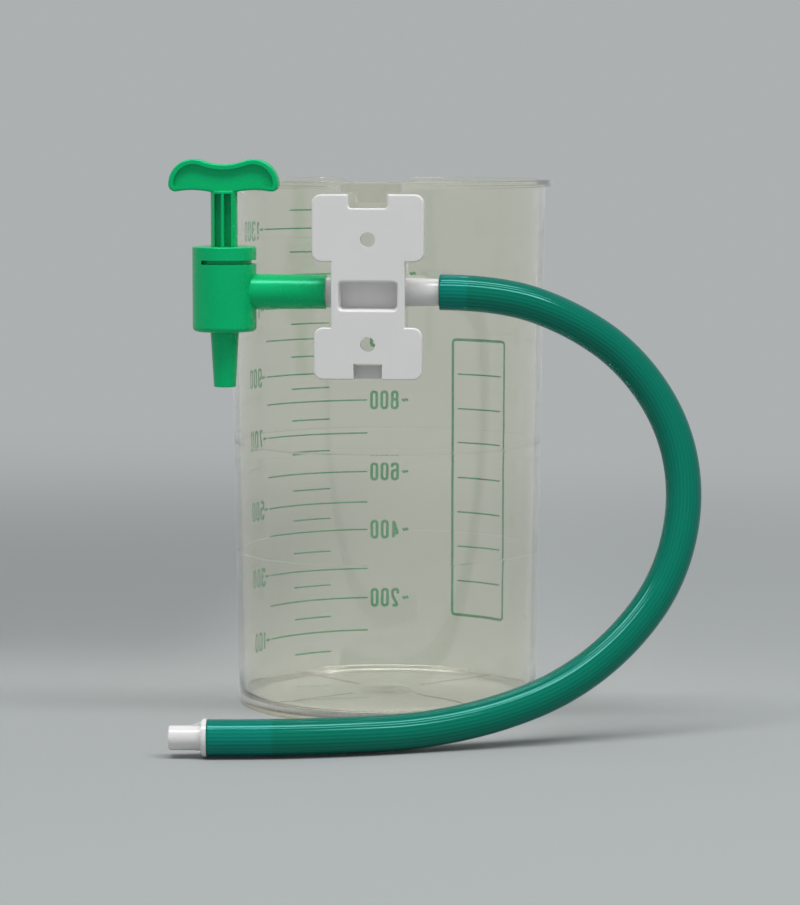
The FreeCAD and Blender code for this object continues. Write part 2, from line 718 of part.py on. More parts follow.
def build_valve_body():
    """The green tap body: a stepped bore, a side pipe, a tapered spout and the cap's catch slot."""
    body = new_body("valve_body")
    outside = "valve_diameter / 2"
    pipe_length = "valve_offset - left_shoulder"
    turned(body, "tap_turn", [
        ("0", "valve_bottom"),
        (outside, "valve_bottom"),
        (outside, "valve_top"),
        ("0", "valve_top"),
    ])
    rounded(body, "bottom_round", "valve_bottom_round",
            lambda edge: is_circle(edge, number(outside), number("valve_bottom")))
    primitive(body, "AdditiveCone", "side_pipe", {
        "Radius1": "pipe_diameter / 2", "Radius2": "pipe_end_diameter / 2", "Height": pipe_length,
    }, ("0", "0", "tee_height"), LAY_ON_X)
    primitive(body, "AdditiveCone", "spout", {
        "Radius1": "spout_end_diameter / 2", "Radius2": "spout_top_diameter / 2",
        "Height": "spout_length + valve_bottom_round",
    }, ("0", "0", "valve_bottom - spout_length"))
    rounded(body, "spout_lip", "nose_round", lambda edge: is_circle(
        edge, number("spout_end_diameter / 2"), number("valve_bottom - spout_length")))
    turned(body, "stepped_bore", [
        ("0", "valve_bottom - spout_length - 1"),
        ("spout_bore / 2", "valve_bottom - spout_length - 1"),
        ("spout_bore / 2", "valve_bottom"),
        ("seat_bore / 2", "seat_bottom"),
        ("seat_bore / 2", "seat_top"),
        ("chamber_bore / 2", "seat_top + (chamber_bore - seat_bore) / 2"),
        ("chamber_bore / 2", "seal_shelf"),
        ("cap_bore / 2", "seal_shelf"),
        ("cap_bore / 2", "valve_top + 1"),
        ("0", "valve_top + 1"),
    ], cut=True)
    primitive(body, "SubtractiveCylinder", "pipe_passage", {
        "Radius": "tee_bore / 2", "Height": pipe_length,
    }, ("0", "0", "tee_height"), LAY_ON_X)
    primitive(body, "SubtractiveCylinder", "pipe_socket", {
        "Radius": "left_spigot_diameter / 2 + push_gap", "Height": "pipe_socket_depth + 1",
    }, (pipe_length + " - pipe_socket_depth", "0", "tee_height"), LAY_ON_X)
    primitive(body, "SubtractiveBox", "catch_slot", {
        "Length": "slot_reach + valve_diameter", "Width": "2 * valve_diameter", "Height": "slot_height",
    }, ("-slot_reach", "-valve_diameter", "slot_bottom"))
    return set_on_valve_axis(body)


def build_valve_cap():
    """The cap: a rim flush with the tap body, a skirt down to the seal and a bead in the slot."""
    body = new_body("valve_cap")
    skirt = "cap_bore / 2 - push_gap"
    skirt_foot = "seal_shelf + stem_seal_height + fit_gap"
    slot_top = "slot_bottom + slot_height"
    turned(body, "cap_turn", [
        ("stem_diameter / 2 + cap_hole_gap", skirt_foot),
        (skirt, skirt_foot),
        (skirt, "valve_top"),
        ("valve_diameter / 2", "valve_top"),
        ("valve_diameter / 2", "valve_top + cap_rim"),
        ("stem_diameter / 2 + cap_hole_gap", "valve_top + cap_rim"),
    ])
    outer = number("valve_diameter / 2")
    rounded(body, "cap_edge", "cap_round",
            lambda edge: is_circle(edge, outer, number("valve_top + cap_rim")))
    primitive(body, "AdditiveCylinder", "catch_bead", {
        "Radius": skirt + " + cap_bead", "Height": "slot_height - 2 * fit_gap",
    }, ("0", "0", "slot_bottom + fit_gap"))
    # the bead stops where the slot in the tap body stops
    primitive(body, "SubtractiveBox", "bead_end", {
        "Length": "valve_diameter - slot_reach", "Width": "2 * valve_diameter",
        "Height": slot_top + " - slot_bottom",
    }, ("-valve_diameter + fit_gap", "-valve_diameter", "slot_bottom"))
    primitive(body, "AdditiveCylinder", "skirt_refill", {
        "Radius": skirt, "Height": slot_top + " - slot_bottom",
    }, ("0", "0", "slot_bottom"))
    primitive(body, "SubtractiveCylinder", "stem_hole", {
        "Radius": "stem_diameter / 2 + cap_hole_gap", "Height": "2 * valve_diameter",
    }, ("0", "0", skirt_foot + " - 1"))
    return set_on_valve_axis(body)


def build_stem_seal():
    """The rubber ring that the cap holds on its shelf round the plunger's stem."""
    body = new_body("stem_seal")
    inner = "stem_diameter / 2 + seal_gap"
    outer = "cap_bore / 2 - push_gap"
    turned(body, "ring_turn", [
        (inner, "seal_shelf"),
        (outer, "seal_shelf"),
        (outer, "seal_shelf + stem_seal_height"),
        (inner + " + seal_section / 4", "seal_shelf + stem_seal_height"),
        (inner, "seal_shelf + stem_seal_height - seal_section / 4"),
    ])
    return set_on_valve_axis(body)


def build_plunger():
    """The green plunger: a winged handle, a cored stem and a plug head with a seal groove."""
    body = new_body("valve_plunger")
    add_handle(body)
    head_bottom = "plug_top - plug_height"
    groove_middle = "plug_top - plug_height / 2"
    turned(body, "stem_turn", [
        ("0", head_bottom),
        ("plug_diameter / 2", head_bottom),
        ("plug_diameter / 2", "plug_top"),
        ("stem_diameter / 2", "plug_top"),
        ("stem_diameter / 2", "handle_bottom + stem_top_chamfer"),
        ("stem_diameter / 2 - stem_top_chamfer", "handle_bottom + 2 * stem_top_chamfer"),
        ("0", "handle_bottom + 2 * stem_top_chamfer"),
    ])
    turned(body, "seal_groove", [
        ("groove_floor", groove_middle + " - seal_section / 2 - seal_gap"),
        ("plug_diameter / 2 + 1", groove_middle + " - seal_section / 2 - seal_gap"),
        ("plug_diameter / 2 + 1", groove_middle + " + seal_section / 2 + seal_gap"),
        ("groove_floor", groove_middle + " + seal_section / 2 + seal_gap"),
    ], cut=True)
    core_stem(body)
    return set_on_valve_axis(body)


def core_stem(body):
    """Cored channels front and back leave two rails, a centre rib and a web."""
    bottom = "seal_shelf + stem_seal_height + plunger_travel + 2 * fit_gap"
    deep = "stem_diameter / 2 - stem_web / 2"
    inner = "centre_rib / 2"
    outer = "stem_diameter / 2 - rail_width"
    for depth_name, start in (("front", "-stem_diameter / 2"), ("back", "stem_web / 2")):
        for side, edge in (("left", "-(" + outer + ")"), ("right", inner)):
            primitive(body, "SubtractiveBox", f"{depth_name}_{side}_channel", {
                "Length": outer + " - " + inner, "Width": deep,
                "Height": "handle_bottom - (" + bottom + ")",
            }, (edge, start, bottom))


def crossing(first, first_reach, second, second_reach):
    """The crossing of two circles that lies on the right of the way from the first to the second."""
    way = second - first
    apart = way.Length
    along = (first_reach ** 2 - second_reach ** 2 + apart ** 2) / (2 * apart)
    aside = math.sqrt(first_reach ** 2 - along ** 2)
    way.normalize()
    return first + way * along + Vector(way.y, -way.x, 0) * aside


def handle_arcs(inset):
    """The handle's outline as eight tangent arcs in order: centre, radius, hollow and what fixes it."""
    lobe_x = "handle_width / 2 - handle_lobe_radius"
    lobe_z = "handle_bottom + handle_height - handle_lobe_radius"
    sole_z = "handle_bottom + handle_sole_radius"
    radii = {
        "sole": "handle_sole_radius - " + inset,
        "arch": "handle_arch_radius + " + inset,
        "corner": "handle_corner_radius - " + inset,
        "lobe": "handle_lobe_radius - " + inset,
        "dip": "handle_dip_radius + " + inset,
    }
    size = {name: number(expression) for name, expression in radii.items()}
    sole = Vector(0, number(sole_z), 0)
    lobe = Vector(number(lobe_x), number(lobe_z), 0)
    left_lobe = Vector(-lobe.x, lobe.y, 0)
    corner = Vector(number("handle_width / 2 - handle_corner_radius"), lobe.y, 0)
    left_corner = Vector(-corner.x, corner.y, 0)
    arch = crossing(corner, size["corner"] + size["arch"], sole, size["sole"] + size["arch"])
    if arch.y > lobe.y:
        arch = crossing(sole, size["sole"] + size["arch"], corner, size["corner"] + size["arch"])
    left_arch = Vector(-arch.x, arch.y, 0)
    dip = crossing(left_lobe, size["lobe"] + size["dip"], lobe, size["lobe"] + size["dip"])
    if dip.y < lobe.y:
        dip = Vector(0, 2 * lobe.y - dip.y, 0)
    return [
        (sole, radii["sole"], False, ("0", sole_z)),
        (arch, radii["arch"], True, (None, None)),
        (corner, radii["corner"], False, (None, lobe_z)),
        (lobe, radii["lobe"], False, (lobe_x, lobe_z)),
        (dip, radii["dip"], True, (None, None)),
        (left_lobe, radii["lobe"], False, ("-(" + lobe_x + ")", lobe_z)),
        (left_corner, radii["corner"], False, (None, lobe_z)),
        (left_arch, radii["arch"], True, (None, None)),
    ]


def meeting_point(first, second):
    """Where two tangent arcs meet: between the centres, or beyond the smaller one's centre."""
    centre, radius, hollow = first[0], number(first[1]), first[2]
    other, other_radius, other_hollow = second[0], number(second[1]), second[2]
    way = (other - centre).normalize()
    if hollow != other_hollow or radius > other_radius:
        return centre + way * radius
    return centre - way * radius


def handle_sketch(body, name, height, inset):
    """A sketch of the handle's outline: tangent arcs with tied radii and centres."""
    sketch = blank_sketch(body, name, height)
    arcs = handle_arcs(inset)
    count = len(arcs)
    joints = [meeting_point(arcs[index - 1], arcs[index]) for index in range(count)]
    for index, (centre, radius, hollow, _) in enumerate(arcs):
        ends = [joints[index], joints[(index + 1) % count]]
        if hollow:
            ends.reverse()
        start, stop = [math.atan2(end.y - centre.y, end.x - centre.x) for end in ends]
        if stop < start:
            stop += 2 * math.pi
        circle = Part.Circle(centre, Z_AXIS, number(radius))
        sketch.addGeometry(Part.ArcOfCircle(circle, start, stop), False)
    for index, (_, _, hollow, _) in enumerate(arcs):
        following = (index + 1) % count
        leaving = 1 if hollow else 2
        arriving = 2 if arcs[following][2] else 1
        sketch.addConstraint(Sketcher.Constraint("Tangent", index, leaving, following, arriving))
    for index, (centre, radius, _, fixed) in enumerate(arcs):
        constraint = sketch.addConstraint(Sketcher.Constraint("Radius", index, number(radius)))
        bind(sketch, f"Constraints[{constraint}]", radius)
        for kind, value, expression in zip(("DistanceX", "DistanceY"), centre, fixed):
            if expression is None:
                continue
            constraint = sketch.addConstraint(Sketcher.Constraint(kind, -1, 1, index, 3, value))
            if expression != "0":
                bind(sketch, f"Constraints[{constraint}]", expression)
    return sketch


def add_handle(body):
    """The winged handle: a rounded slab with a recessed field inside a raised rim on both faces."""
    half = number("handle_thickness / 2")
    outline = handle_sketch(body, "handle_outline", "-handle_thickness / 2", "0")
    pushed(body, "handle", outline, "handle_thickness")
    rounded(body, "handle_edges", "handle_round", lambda edge: near(edge.BoundBox.YLength, 0)
            and near(abs(edge.CenterOfMass.y), half) and edge.CenterOfMass.z > number("handle_bottom"))
    field = "handle_thickness / 2 - handle_field_depth"
    front = handle_sketch(body, "front_field_outline", field, "handle_rim")
    pushed(body, "front_field", front, "handle_thickness / 2", cut=True, reversed_way=True)
    back = handle_sketch(body, "back_field_outline", "-(" + field + ")", "handle_rim")
    pushed(body, "back_field", back, "handle_thickness / 2", cut=True)


def build_plug_seal():
    """The rubber O-ring in the plunger's head, which closes the spout when pushed down."""
    body = new_body("plug_seal")
    primitive(body, "AdditiveTorus", "ring", {
        "Radius1": "groove_floor + seal_gap + seal_section / 2",
        "Radius2": "seal_section / 2",
    }, ("0", "0", "plug_top - plug_height / 2"))
    return set_on_valve_axis(body)


def hose_points():
    """The route, moved with the tee's end and stretched in height between it and the ground."""
    first = HOSE_ROUTE[0]
    rest = HOSE_ROUTE[-1][2]
    stretch = (number("tee_height") - rest) / (first[2] - rest)
    sideways = number("right_shoulder") - first[0]
    forwards = -number("tee_reach") - first[1]
    return [Vector(x + sideways, y + forwards, rest + (z - rest) * stretch) for x, y, z in HOSE_ROUTE]


def hose_path():
    """The route as straight runs joined by tangent arcs, with each arc's radius."""
    points = hose_points()
    edges = []
    radii = []
    start = points[0]
    for before, corner, after in zip(points, points[1:], points[2:]):
        arriving = (corner - before).normalize()
        leaving = (after - corner).normalize()
        turn = arriving.getAngle(leaving)
        shorter = min(corner.distanceToPoint(before), corner.distanceToPoint(after))
        set_back = BEND_SHARE * shorter
        radius = set_back / math.tan(turn / 2)
        arc_start = corner - arriving * set_back
        arc_end = corner + leaving * set_back
        inward = (leaving - arriving).normalize()
        middle = corner + inward * (radius / math.cos(turn / 2) - radius)
        edges.append(Part.LineSegment(start, arc_start).toShape())
        edges.append(Part.Arc(arc_start, middle, arc_end).toShape())
        radii.append(radius)
        start = arc_end
    edges.append(Part.LineSegment(start, points[-1]).toShape())
    return Part.Wire(edges), radii


def hose_solid(path, radius):
    """A round bar along the hose's path."""
    start, second = hose_points()[:2]
    way = second - start
    circle = Part.Wire([Part.Circle(start, way, radius).toShape()])
    return path.makePipeShell([circle], True, False)


def build_hose():
    """The hose: one plain tube along its route."""
    path, radii = hose_path()
    outside = hose_solid(path, number("hose_diameter / 2"))
    inside = hose_solid(path, number("hose_bore / 2"))
    tube = outside.cut(inside)
    section = math.pi * (number("hose_diameter / 2") ** 2 - number("hose_bore / 2") ** 2)
    print("hose length %.1f mm, volume over section times length %.4f, radii %s" % (
        path.Length, tube.Volume / (section * path.Length), [round(radius, 1) for radius in radii]))
    hose = doc.addObject("Part::Feature", "hose")
    hose.Shape = tube
    hose.Label = "hose"
    return hose


def build_connector():
    """The white end connector: a barb in the hose, a stepped flange and a finned nozzle."""
    body = new_body("hose_connector")
    flange_end = "connector_flange_thickness"
    turned(body, "connector_turn", [
        ("0", "-connector_barb_length"),
        ("hose_bore / 2 - push_gap - nose_round", "-connector_barb_length"),
        ("hose_bore / 2 - push_gap", "-connector_barb_length + 2 * nose_round"),
        ("hose_bore / 2 - push_gap", "0"),
        ("connector_flange / 2", "0"),
        ("connector_flange / 2", flange_end + " - connector_step"),
        ("connector_flange / 2 - connector_step", flange_end + " - connector_step"),
        ("connector_flange / 2 - connector_step", flange_end),
        ("nozzle_root_diameter / 2", flange_end),
        ("nozzle_diameter / 2", flange_end + " + nozzle_ramp_length"),
        ("nozzle_diameter / 2", flange_end + " + nozzle_length"),
        ("0", flange_end + " + nozzle_length"),
    ])
    rounded(body, "nozzle_lip", "connector_step", lambda edge: is_circle(
        edge, number("nozzle_diameter / 2"), number(flange_end + " + nozzle_length")))
    # a small ramp on the nozzle's top rises towards the flange
    extruded(body, "nozzle_ramp", [
        ("-nozzle_diameter / 4", flange_end + " - connector_step / 2"),
        ("-nozzle_diameter / 2 - nozzle_ramp_height", flange_end + " - connector_step / 2"),
        ("-nozzle_diameter / 2 - nozzle_ramp_height", flange_end),
        ("-nozzle_diameter / 2", flange_end + " + nozzle_ramp_length"),
        ("-nozzle_diameter / 4", flange_end + " + nozzle_ramp_length"),
    ], "-nozzle_ramp_width / 2", "nozzle_ramp_width")
    primitive(body, "SubtractiveCylinder", "connector_passage", {
        "Radius": "connector_bore / 2",
        "Height": "connector_barb_length + connector_flange_thickness + nozzle_length + 2",
    }, ("0", "0", "-connector_barb_length - 1"))
    before, end = hose_points()[-2:]
    way = end - before
    level = math.degrees(math.atan2(way.y, way.x))
    turn = FreeCAD.Rotation(Z_AXIS, level) * FreeCAD.Rotation(Y_AXIS, 90)
    body.Placement = FreeCAD.Placement(end, turn)
    doc.recompute()
    return body


def check(pieces):
    """Stop when any feature failed or a piece's shape is empty, invalid or not all solid."""
    for item in doc.Objects:
        if "Invalid" in item.State or "Error" in item.State:
            raise RuntimeError(f"{item.Name} failed: {item.State}")
    for piece in pieces:
        shape = piece.Shape
        if shape.isNull() or not shape.isValid() or not shape.Solids:
            raise RuntimeError(f"{piece.Label} has no valid shape")


def main():
    pieces = [
        build_canister(),
        build_plate(),
        build_tee(),
        build_grommet(),
        build_valve_body(),
        build_valve_cap(),
        build_stem_seal(),
        build_plunger(),
        build_plug_seal(),
        build_hose(),
        build_connector(),
    ]
    doc.recompute()
    check(pieces)
    os.makedirs("parts", exist_ok=True)
    for piece in pieces:
        piece.Shape.exportStep(f"parts/{piece.Label}.step")
        box = piece.Shape.BoundBox
        print("%-16s %d solid(s) %9.1f mm3  x %.1f..%.1f  y %.1f..%.1f  z %.1f..%.1f" % (
            piece.Label, len(piece.Shape.Solids), piece.Shape.Volume,
            box.XMin, box.XMax, box.YMin, box.YMax, box.ZMin, box.ZMax))


main()
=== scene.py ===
"""Suction canister: a clear graduated cup with a white wall bracket, a white vacuum tee, a green
push-pull tap and a green ribbed hose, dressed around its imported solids.

Metres, +Z up. The origin is the centre of the foot and the bracket faces -Y.
"""

import math

import bpy
import numpy as np
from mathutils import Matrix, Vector


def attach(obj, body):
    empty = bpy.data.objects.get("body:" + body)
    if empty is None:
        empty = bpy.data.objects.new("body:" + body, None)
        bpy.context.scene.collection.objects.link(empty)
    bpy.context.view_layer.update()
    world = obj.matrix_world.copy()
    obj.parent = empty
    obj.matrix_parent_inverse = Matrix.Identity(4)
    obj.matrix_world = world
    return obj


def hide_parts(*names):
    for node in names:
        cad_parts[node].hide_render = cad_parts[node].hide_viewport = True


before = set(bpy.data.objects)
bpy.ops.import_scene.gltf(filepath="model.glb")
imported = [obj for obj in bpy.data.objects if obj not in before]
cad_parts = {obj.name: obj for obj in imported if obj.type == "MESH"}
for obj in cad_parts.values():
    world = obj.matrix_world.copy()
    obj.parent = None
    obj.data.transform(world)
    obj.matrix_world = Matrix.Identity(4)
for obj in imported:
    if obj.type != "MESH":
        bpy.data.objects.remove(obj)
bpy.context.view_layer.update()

bl_info = {
    "name": "Suction Canister",
    "version": (1, 0, 0),
    "blender": (4, 5, 0),
    "location": "View3D > Sidebar > Canister",
    "description": "Builds the visible pieces of a suction canister around its solids",
    "category": "Add Mesh",
}

MM = 0.001
BLACK = (0, 0, 0, 1)

# The hose's route from the tee's shoulder round to the floor in front of the cup.
HOSE_ROUTE = (
    (0.0230, -0.0616, 0.1484),
    (0.0430, -0.0616, 0.1484),
    (0.0670, -0.0530, 0.1395),
    (0.0870, -0.0470, 0.1250),
    (0.1015, -0.0470, 0.1030),
    (0.1060, -0.0520, 0.0785),
    (0.1005, -0.0615, 0.0535),
    (0.0865, -0.0715, 0.0340),
    (0.0670, -0.0805, 0.0190),
    (0.0440, -0.0890, 0.0105),
    (0.0195, -0.0985, 0.0065),
    (-0.0040, -0.1080, 0.0065),
    (-0.0295, -0.1145, 0.0065),
    (-0.0485, -0.1160, 0.0065),
)

# Rows of points along the hose, outside and inside it, and points across each of its ribs.
OUTER_ROWS = 400
INNER_ROWS = 36
RIB_POINTS = 6

# The hose's rounded ends: the length between the end and the first plain row, then rows at a
# distance from the end, and how far each is drawn in, in millimetres.
END_LENGTH = 1.4 * MM
END_ROWS = ((0, 0.3), (0.12, 0.09), (0.4, 0))

# The tee's axis and the bracket's back face: height above the table, and distances in front of
# the cup's axis.
TEE_HEIGHT = 0.1484
TEE_REACH = 0.0616
PLATE_BACK = 0.0710

# Where the wall begins to follow the pouring dip, and over what height it does.
DIP_FOOT = 0.170
DIP_RISE = 0.011

# Hairline rings in millimetres: heights on the wall, and radii in the middle of the floor.
WALL_RINGS = (54.7, 92.6, 166.2)
FLOOR_RINGS = (8.2, 5.4, 2.8)

# Bars that run into the near wall: the lowest and the highest corner of each, and how much its
# long edges are softened.
LUG_AND_RIBS = {
    "lug_head": ((-0.01015, -0.0605, 0.1816), (0.01015, -0.0535, 0.1843), 1.2 * MM),
    "lug_stem": ((-0.0051, -0.0630, 0.1780), (0.0051, -0.0535, 0.1830), 1.2 * MM),
    "left_rib": ((-0.0119, -PLATE_BACK, 0.1220), (-0.0104, -0.0525, 0.1780), 0.3 * MM),
    "right_rib": ((0.0104, -PLATE_BACK, 0.1220), (0.0119, -0.0525, 0.1780), 0.3 * MM),
}

# The port through the near wall, the boss round it, and the notch that the ribs leave for the tee.
PORT_START = -0.0600
PORT_LENGTH = 0.012
PORT_RADIUS = 0.0055
BOSS_PROUD = 0.00054
BOSS_LENGTH = 0.0035
BOSS_RADIUS = 0.0085
NOTCH_FRONT = -0.0730
NOTCH_REACH = 0.0140
NOTCH_RADIUS = 0.0051

# Raised lines on the cup's floor: their turns in degrees, and the box of each before its turn.
FLOOR_LINE_TURNS = (45, 135, 225, 315)
FLOOR_LINE = ((0.0165, -0.35 * MM, 0.0030), (0.0490, 0.35 * MM, 0.0039))

# Heights of the volume marks above the table: the volume, then the height in millimetres.
MARKS = (
    (50, 9.9), (100, 17.3), (150, 22.9), (200, 29.4), (250, 34.7), (300, 40.7), (350, 47.1),
    (400, 54.8), (450, 59.4), (500, 65.0), (550, 70.4), (600, 76.4), (650, 84.1), (700, 90.6),
    (750, 96.1), (800, 102.8), (850, 107.8), (900, 113.0), (950, 119.5), (1000, 125.9),
    (1050, 131.5), (1100, 137.5), (1150, 143.5), (1200, 149.5), (1250, 157.9), (1300, 166.1),
    (1350, 173.0),
)

# Where the marks stand round the far wall, in degrees as the camera sees them.
HUNDRED_LINE = (-56.4, -8.3)
FIFTY_LINE = (-41.6, -24.0)
EVEN_WORD_END = -7.1
ODD_WORD_START = -60.0

# Strokes of the printed numerals in a box one wide and one high: closed or open, then the corners.
NUMERALS = {
    "0": [(True, [(0, 0), (1, 0), (1, 1), (0, 1)])],
    "1": [(False, [(0.08, 0.80), (0.62, 1), (0.62, 0)])],
    "2": [(False, [(0, 0.74), (0, 1), (1, 1), (1, 0.58), (0, 0), (1, 0)])],
    "3": [(False, [(0, 0.78), (0, 1), (1, 1), (1, 0.53), (0.35, 0.53)]),
          (False, [(0.35, 0.53), (1, 0.53), (1, 0), (0, 0), (0, 0.22)])],
    "4": [(False, [(0.76, 0), (0.76, 1), (0, 0.24), (1.08, 0.24)])],
    "5": [(False, [(0.95, 1), (0.04, 1), (0, 0.54), (1, 0.62), (1, 0), (0, 0), (0, 0.22)])],
    "6": [(False, [(1, 0.78), (1, 1), (0, 1), (0, 0), (1, 0), (1, 0.57), (0, 0.57)])],
    "7": [(False, [(0, 1), (1, 1), (0.3, 0)])],
    "8": [(True, [(0.04, 0.53), (0.96, 0.53), (0.96, 1), (0.04, 1)]),
          (True, [(0, 0), (1, 0), (1, 0.53), (0, 0.53)])],
    "9": [(False, [(0, 0.22), (0, 0), (1, 0), (1, 1), (0, 1), (0, 0.43), (1, 0.43)])],
    "~": [(False, [(0, 0.34), (0.24, 0.70), (0.74, 0.30), (1, 0.66)])],
}

# A sign's width and height next to a full numeral, and how much its corners are softened.
SIGN_WIDTH = {"1": 0.72}
SIGN_HEIGHT = {"~": 0.42}
SIGN_CUT = {"4": 0.45 * MM, "7": 0.45 * MM, "~": 0.7 * MM}
FULL_CUT = 1.25 * MM

# The tilde before a word: its stroke next to the numerals', and its place before an odd hundred,
# in numeral widths.
TILDE_STROKE = 0.72
ODD_TILDE = 0.6

# The write-on panel: its sides across the wall, its ends in height, and the number of its ruled
# lines and their distance from its sides.
PANEL_SIDES = (0.0208, 0.0462)
PANEL_ENDS = (0.0240, 0.1255)
PANEL_LINES = 7
PANEL_MARGIN = 2.2 * MM

# The camera's place, its tilt down and its turn in degrees, and its lens and sensor width in
# millimetres.
EYE = (0.105752, -1.193332, 0.2055)
VIEW_TILT = 5.58
VIEW_TURN = 4.85
LENS = 135.17
SENSOR = 36

# The studio floor: radii of its rings of points, and the points in each.
STUDIO_RINGS = (0.2, 0.5, 1.0, 2.5, 8.0, 40.0)
STUDIO_SEGMENTS = 96

# Soft lights: width and depth, place, and the point each is aimed at.
LIGHTS = {
    "overhead": ((2.6, 0.45), (0.4, -0.66, 1.75), (0.4, 0, 0.1)),
    "front": ((2.6, 2.6), (0.3, -3.8, 1.7), (0, 0, 0.1)),
}


def linear(red, green, blue):
    """A colour given in 0 to 255 screen values, as the linear values a shader reads."""
    screen = np.array([red, green, blue]) / 255
    low = screen / 12.92
    high = ((screen + 0.055) / 1.055) ** 2.4
    return tuple(float(v) for v in np.where(screen <= 0.04045, low, high))


def length_setting(name, description, default):
    return bpy.props.FloatProperty(name=name, description=description, default=default, min=0,
                                   subtype="DISTANCE", unit="LENGTH", precision=5)


def angle_setting(name, description, degrees):
    return bpy.props.FloatProperty(name=name, description=description,
                                   default=math.radians(degrees), subtype="ANGLE")


def count_setting(name, description, default, least):
    return bpy.props.IntProperty(name=name, description=description, default=default, min=least)


def power_setting(name, description, default):
    return bpy.props.FloatProperty(name=name, description=description, default=default, min=0,
                                   subtype="POWER", unit="POWER")


def colour_setting(name, description, screen):
    return bpy.props.FloatVectorProperty(name=name, description=description, size=3, min=0, max=1,
                                         default=linear(*screen), subtype="COLOR")


class CupSizes(bpy.types.PropertyGroup):
    """Sizes of the clear cup."""

    height: length_setting("Height", "From the table to the rim", 0.185)
    base_radius: length_setting("Base radius", "Outer radius at the foot", 0.0527)
    top_radius: length_setting("Top radius", "Outer radius under the rim", 0.0555)
    wall: length_setting("Wall", "Thickness of the wall", 0.002)
    floor_top: length_setting("Floor", "Height of the floor's upper face", 0.0036)
    foot_height: length_setting("Foot height", "How far the floor is raised on its ring", 0.0016)
    foot_width: length_setting("Foot width", "Width of the ring it stands on", 0.003)
    flange_overhang: length_setting("Flange overhang", "How far the rim stands out", 0.0022)
    flange_thickness: length_setting("Flange thickness", "Thickness of the rim", 0.0014)
    lip_drop: length_setting("Lip drop", "Depth of the rim's turned-down lip", 0.0024)
    lip_width: length_setting("Lip width", "Thickness of the turned-down lip", 0.0009)
    dip_depth: length_setting("Dip depth", "Depth of the pouring dip", 0.0032)
    dip_width: length_setting("Dip width", "Width of the pouring dip at half depth", 0.0212)
    dip_slope: length_setting("Dip slope", "Width of each side of the dip", 0.0088)
    dip_turn: angle_setting("Dip turn", "Turn of the dip from the side opposite the bracket", 9.7)
    segments: count_setting("Segments", "Faces round the cup", 420, 12)


class HoseSizes(bpy.types.PropertyGroup):
    """Sizes of the ribbed hose."""

    diameter: length_setting("Diameter", "Outer diameter over the ribs", 0.012)
    bore: length_setting("Bore", "Inner diameter", 0.009)
    ribs: count_setting("Ribs", "Fine ribs round the hose", 30, 1)
    rib_depth: length_setting("Rib depth", "Depth of the grooves between the ribs", 0.00007)
    start_sleeve: length_setting("Start sleeve", "Length pushed over the tee", 0.0092)
    end_sleeve: length_setting("End sleeve", "Length pushed over the connector", 0.0208)


class PrintSizes(bpy.types.PropertyGroup):
    """Sizes of the printed volume scale and write-on panel."""

    numeral_height: length_setting("Numeral height", "Height over the strokes", 0.007)
    numeral_width: length_setting("Numeral width", "Width over the strokes", 0.00305)
    numeral_gap: length_setting("Numeral gap", "Space between numerals", 0.00085)
    stroke: length_setting("Stroke", "Thickness of the numerals' strokes", 0.00105)
    line: length_setting("Line", "Thickness of the volume lines", 0.00054)
    frame_line: length_setting("Frame line", "Thickness of the panel's frame", 0.001)
    ruled_line: length_setting("Ruled line", "Thickness of the panel's ruled lines", 0.00055)
    ink: length_setting("Ink", "Thickness of the ink", 0.00004)
    lift: length_setting("Lift", "Space between the wall and the ink", 0.00002)


class Finishes(bpy.types.PropertyGroup):
    """Colours of the plastics, the ink and the hose."""

    cup: colour_setting("Cup", "Clear plastic", (254, 253, 244))
    foot: colour_setting("Foot", "Clear plastic at the foot", (226, 226, 212))
    lug: colour_setting("Lug", "Clear plastic of the lug and ribs", (236, 234, 219))
    amber: colour_setting("Amber", "Outer edge of the foot", (222, 205, 170))
    ink: colour_setting("Ink", "Printed scale", (0, 122, 76))
    white: colour_setting("White", "Bracket, tee and connector", (222, 220, 219))
    tap: colour_setting("Tap", "Tap, cap and plunger", (0, 178, 106))
    hose: colour_setting("Hose", "Hose between its sleeves", (0, 143, 108))
    sleeve: colour_setting("Sleeve", "Hose where a fitting fills it", (0, 154, 126))
    rubber: colour_setting("Rubber", "Grommet and rings", (66, 68, 70))


class StageSettings(bpy.types.PropertyGroup):
    """The floor and the lights."""

    floor: colour_setting("Floor", "Pale studio floor", (161, 164, 164))
    backdrop: colour_setting("Backdrop", "Far backdrop and light all round", (172, 176, 177))
    overhead: power_setting("Overhead", "Power of the soft light above", 38.0)
    front: power_setting("Front", "Power of the soft light in front", 1.5)


# Surfaces

def smooth_step(value):
    """0 below 0, 1 above 1, and three times the square less twice the cube between them."""
    share = np.clip(value, 0, 1)
    return share * share * (3 - 2 * share)


def unit(vectors):
    """Each vector over its length."""
    return vectors / np.maximum(np.linalg.norm(vectors, axis=-1, keepdims=True), 1e-12)


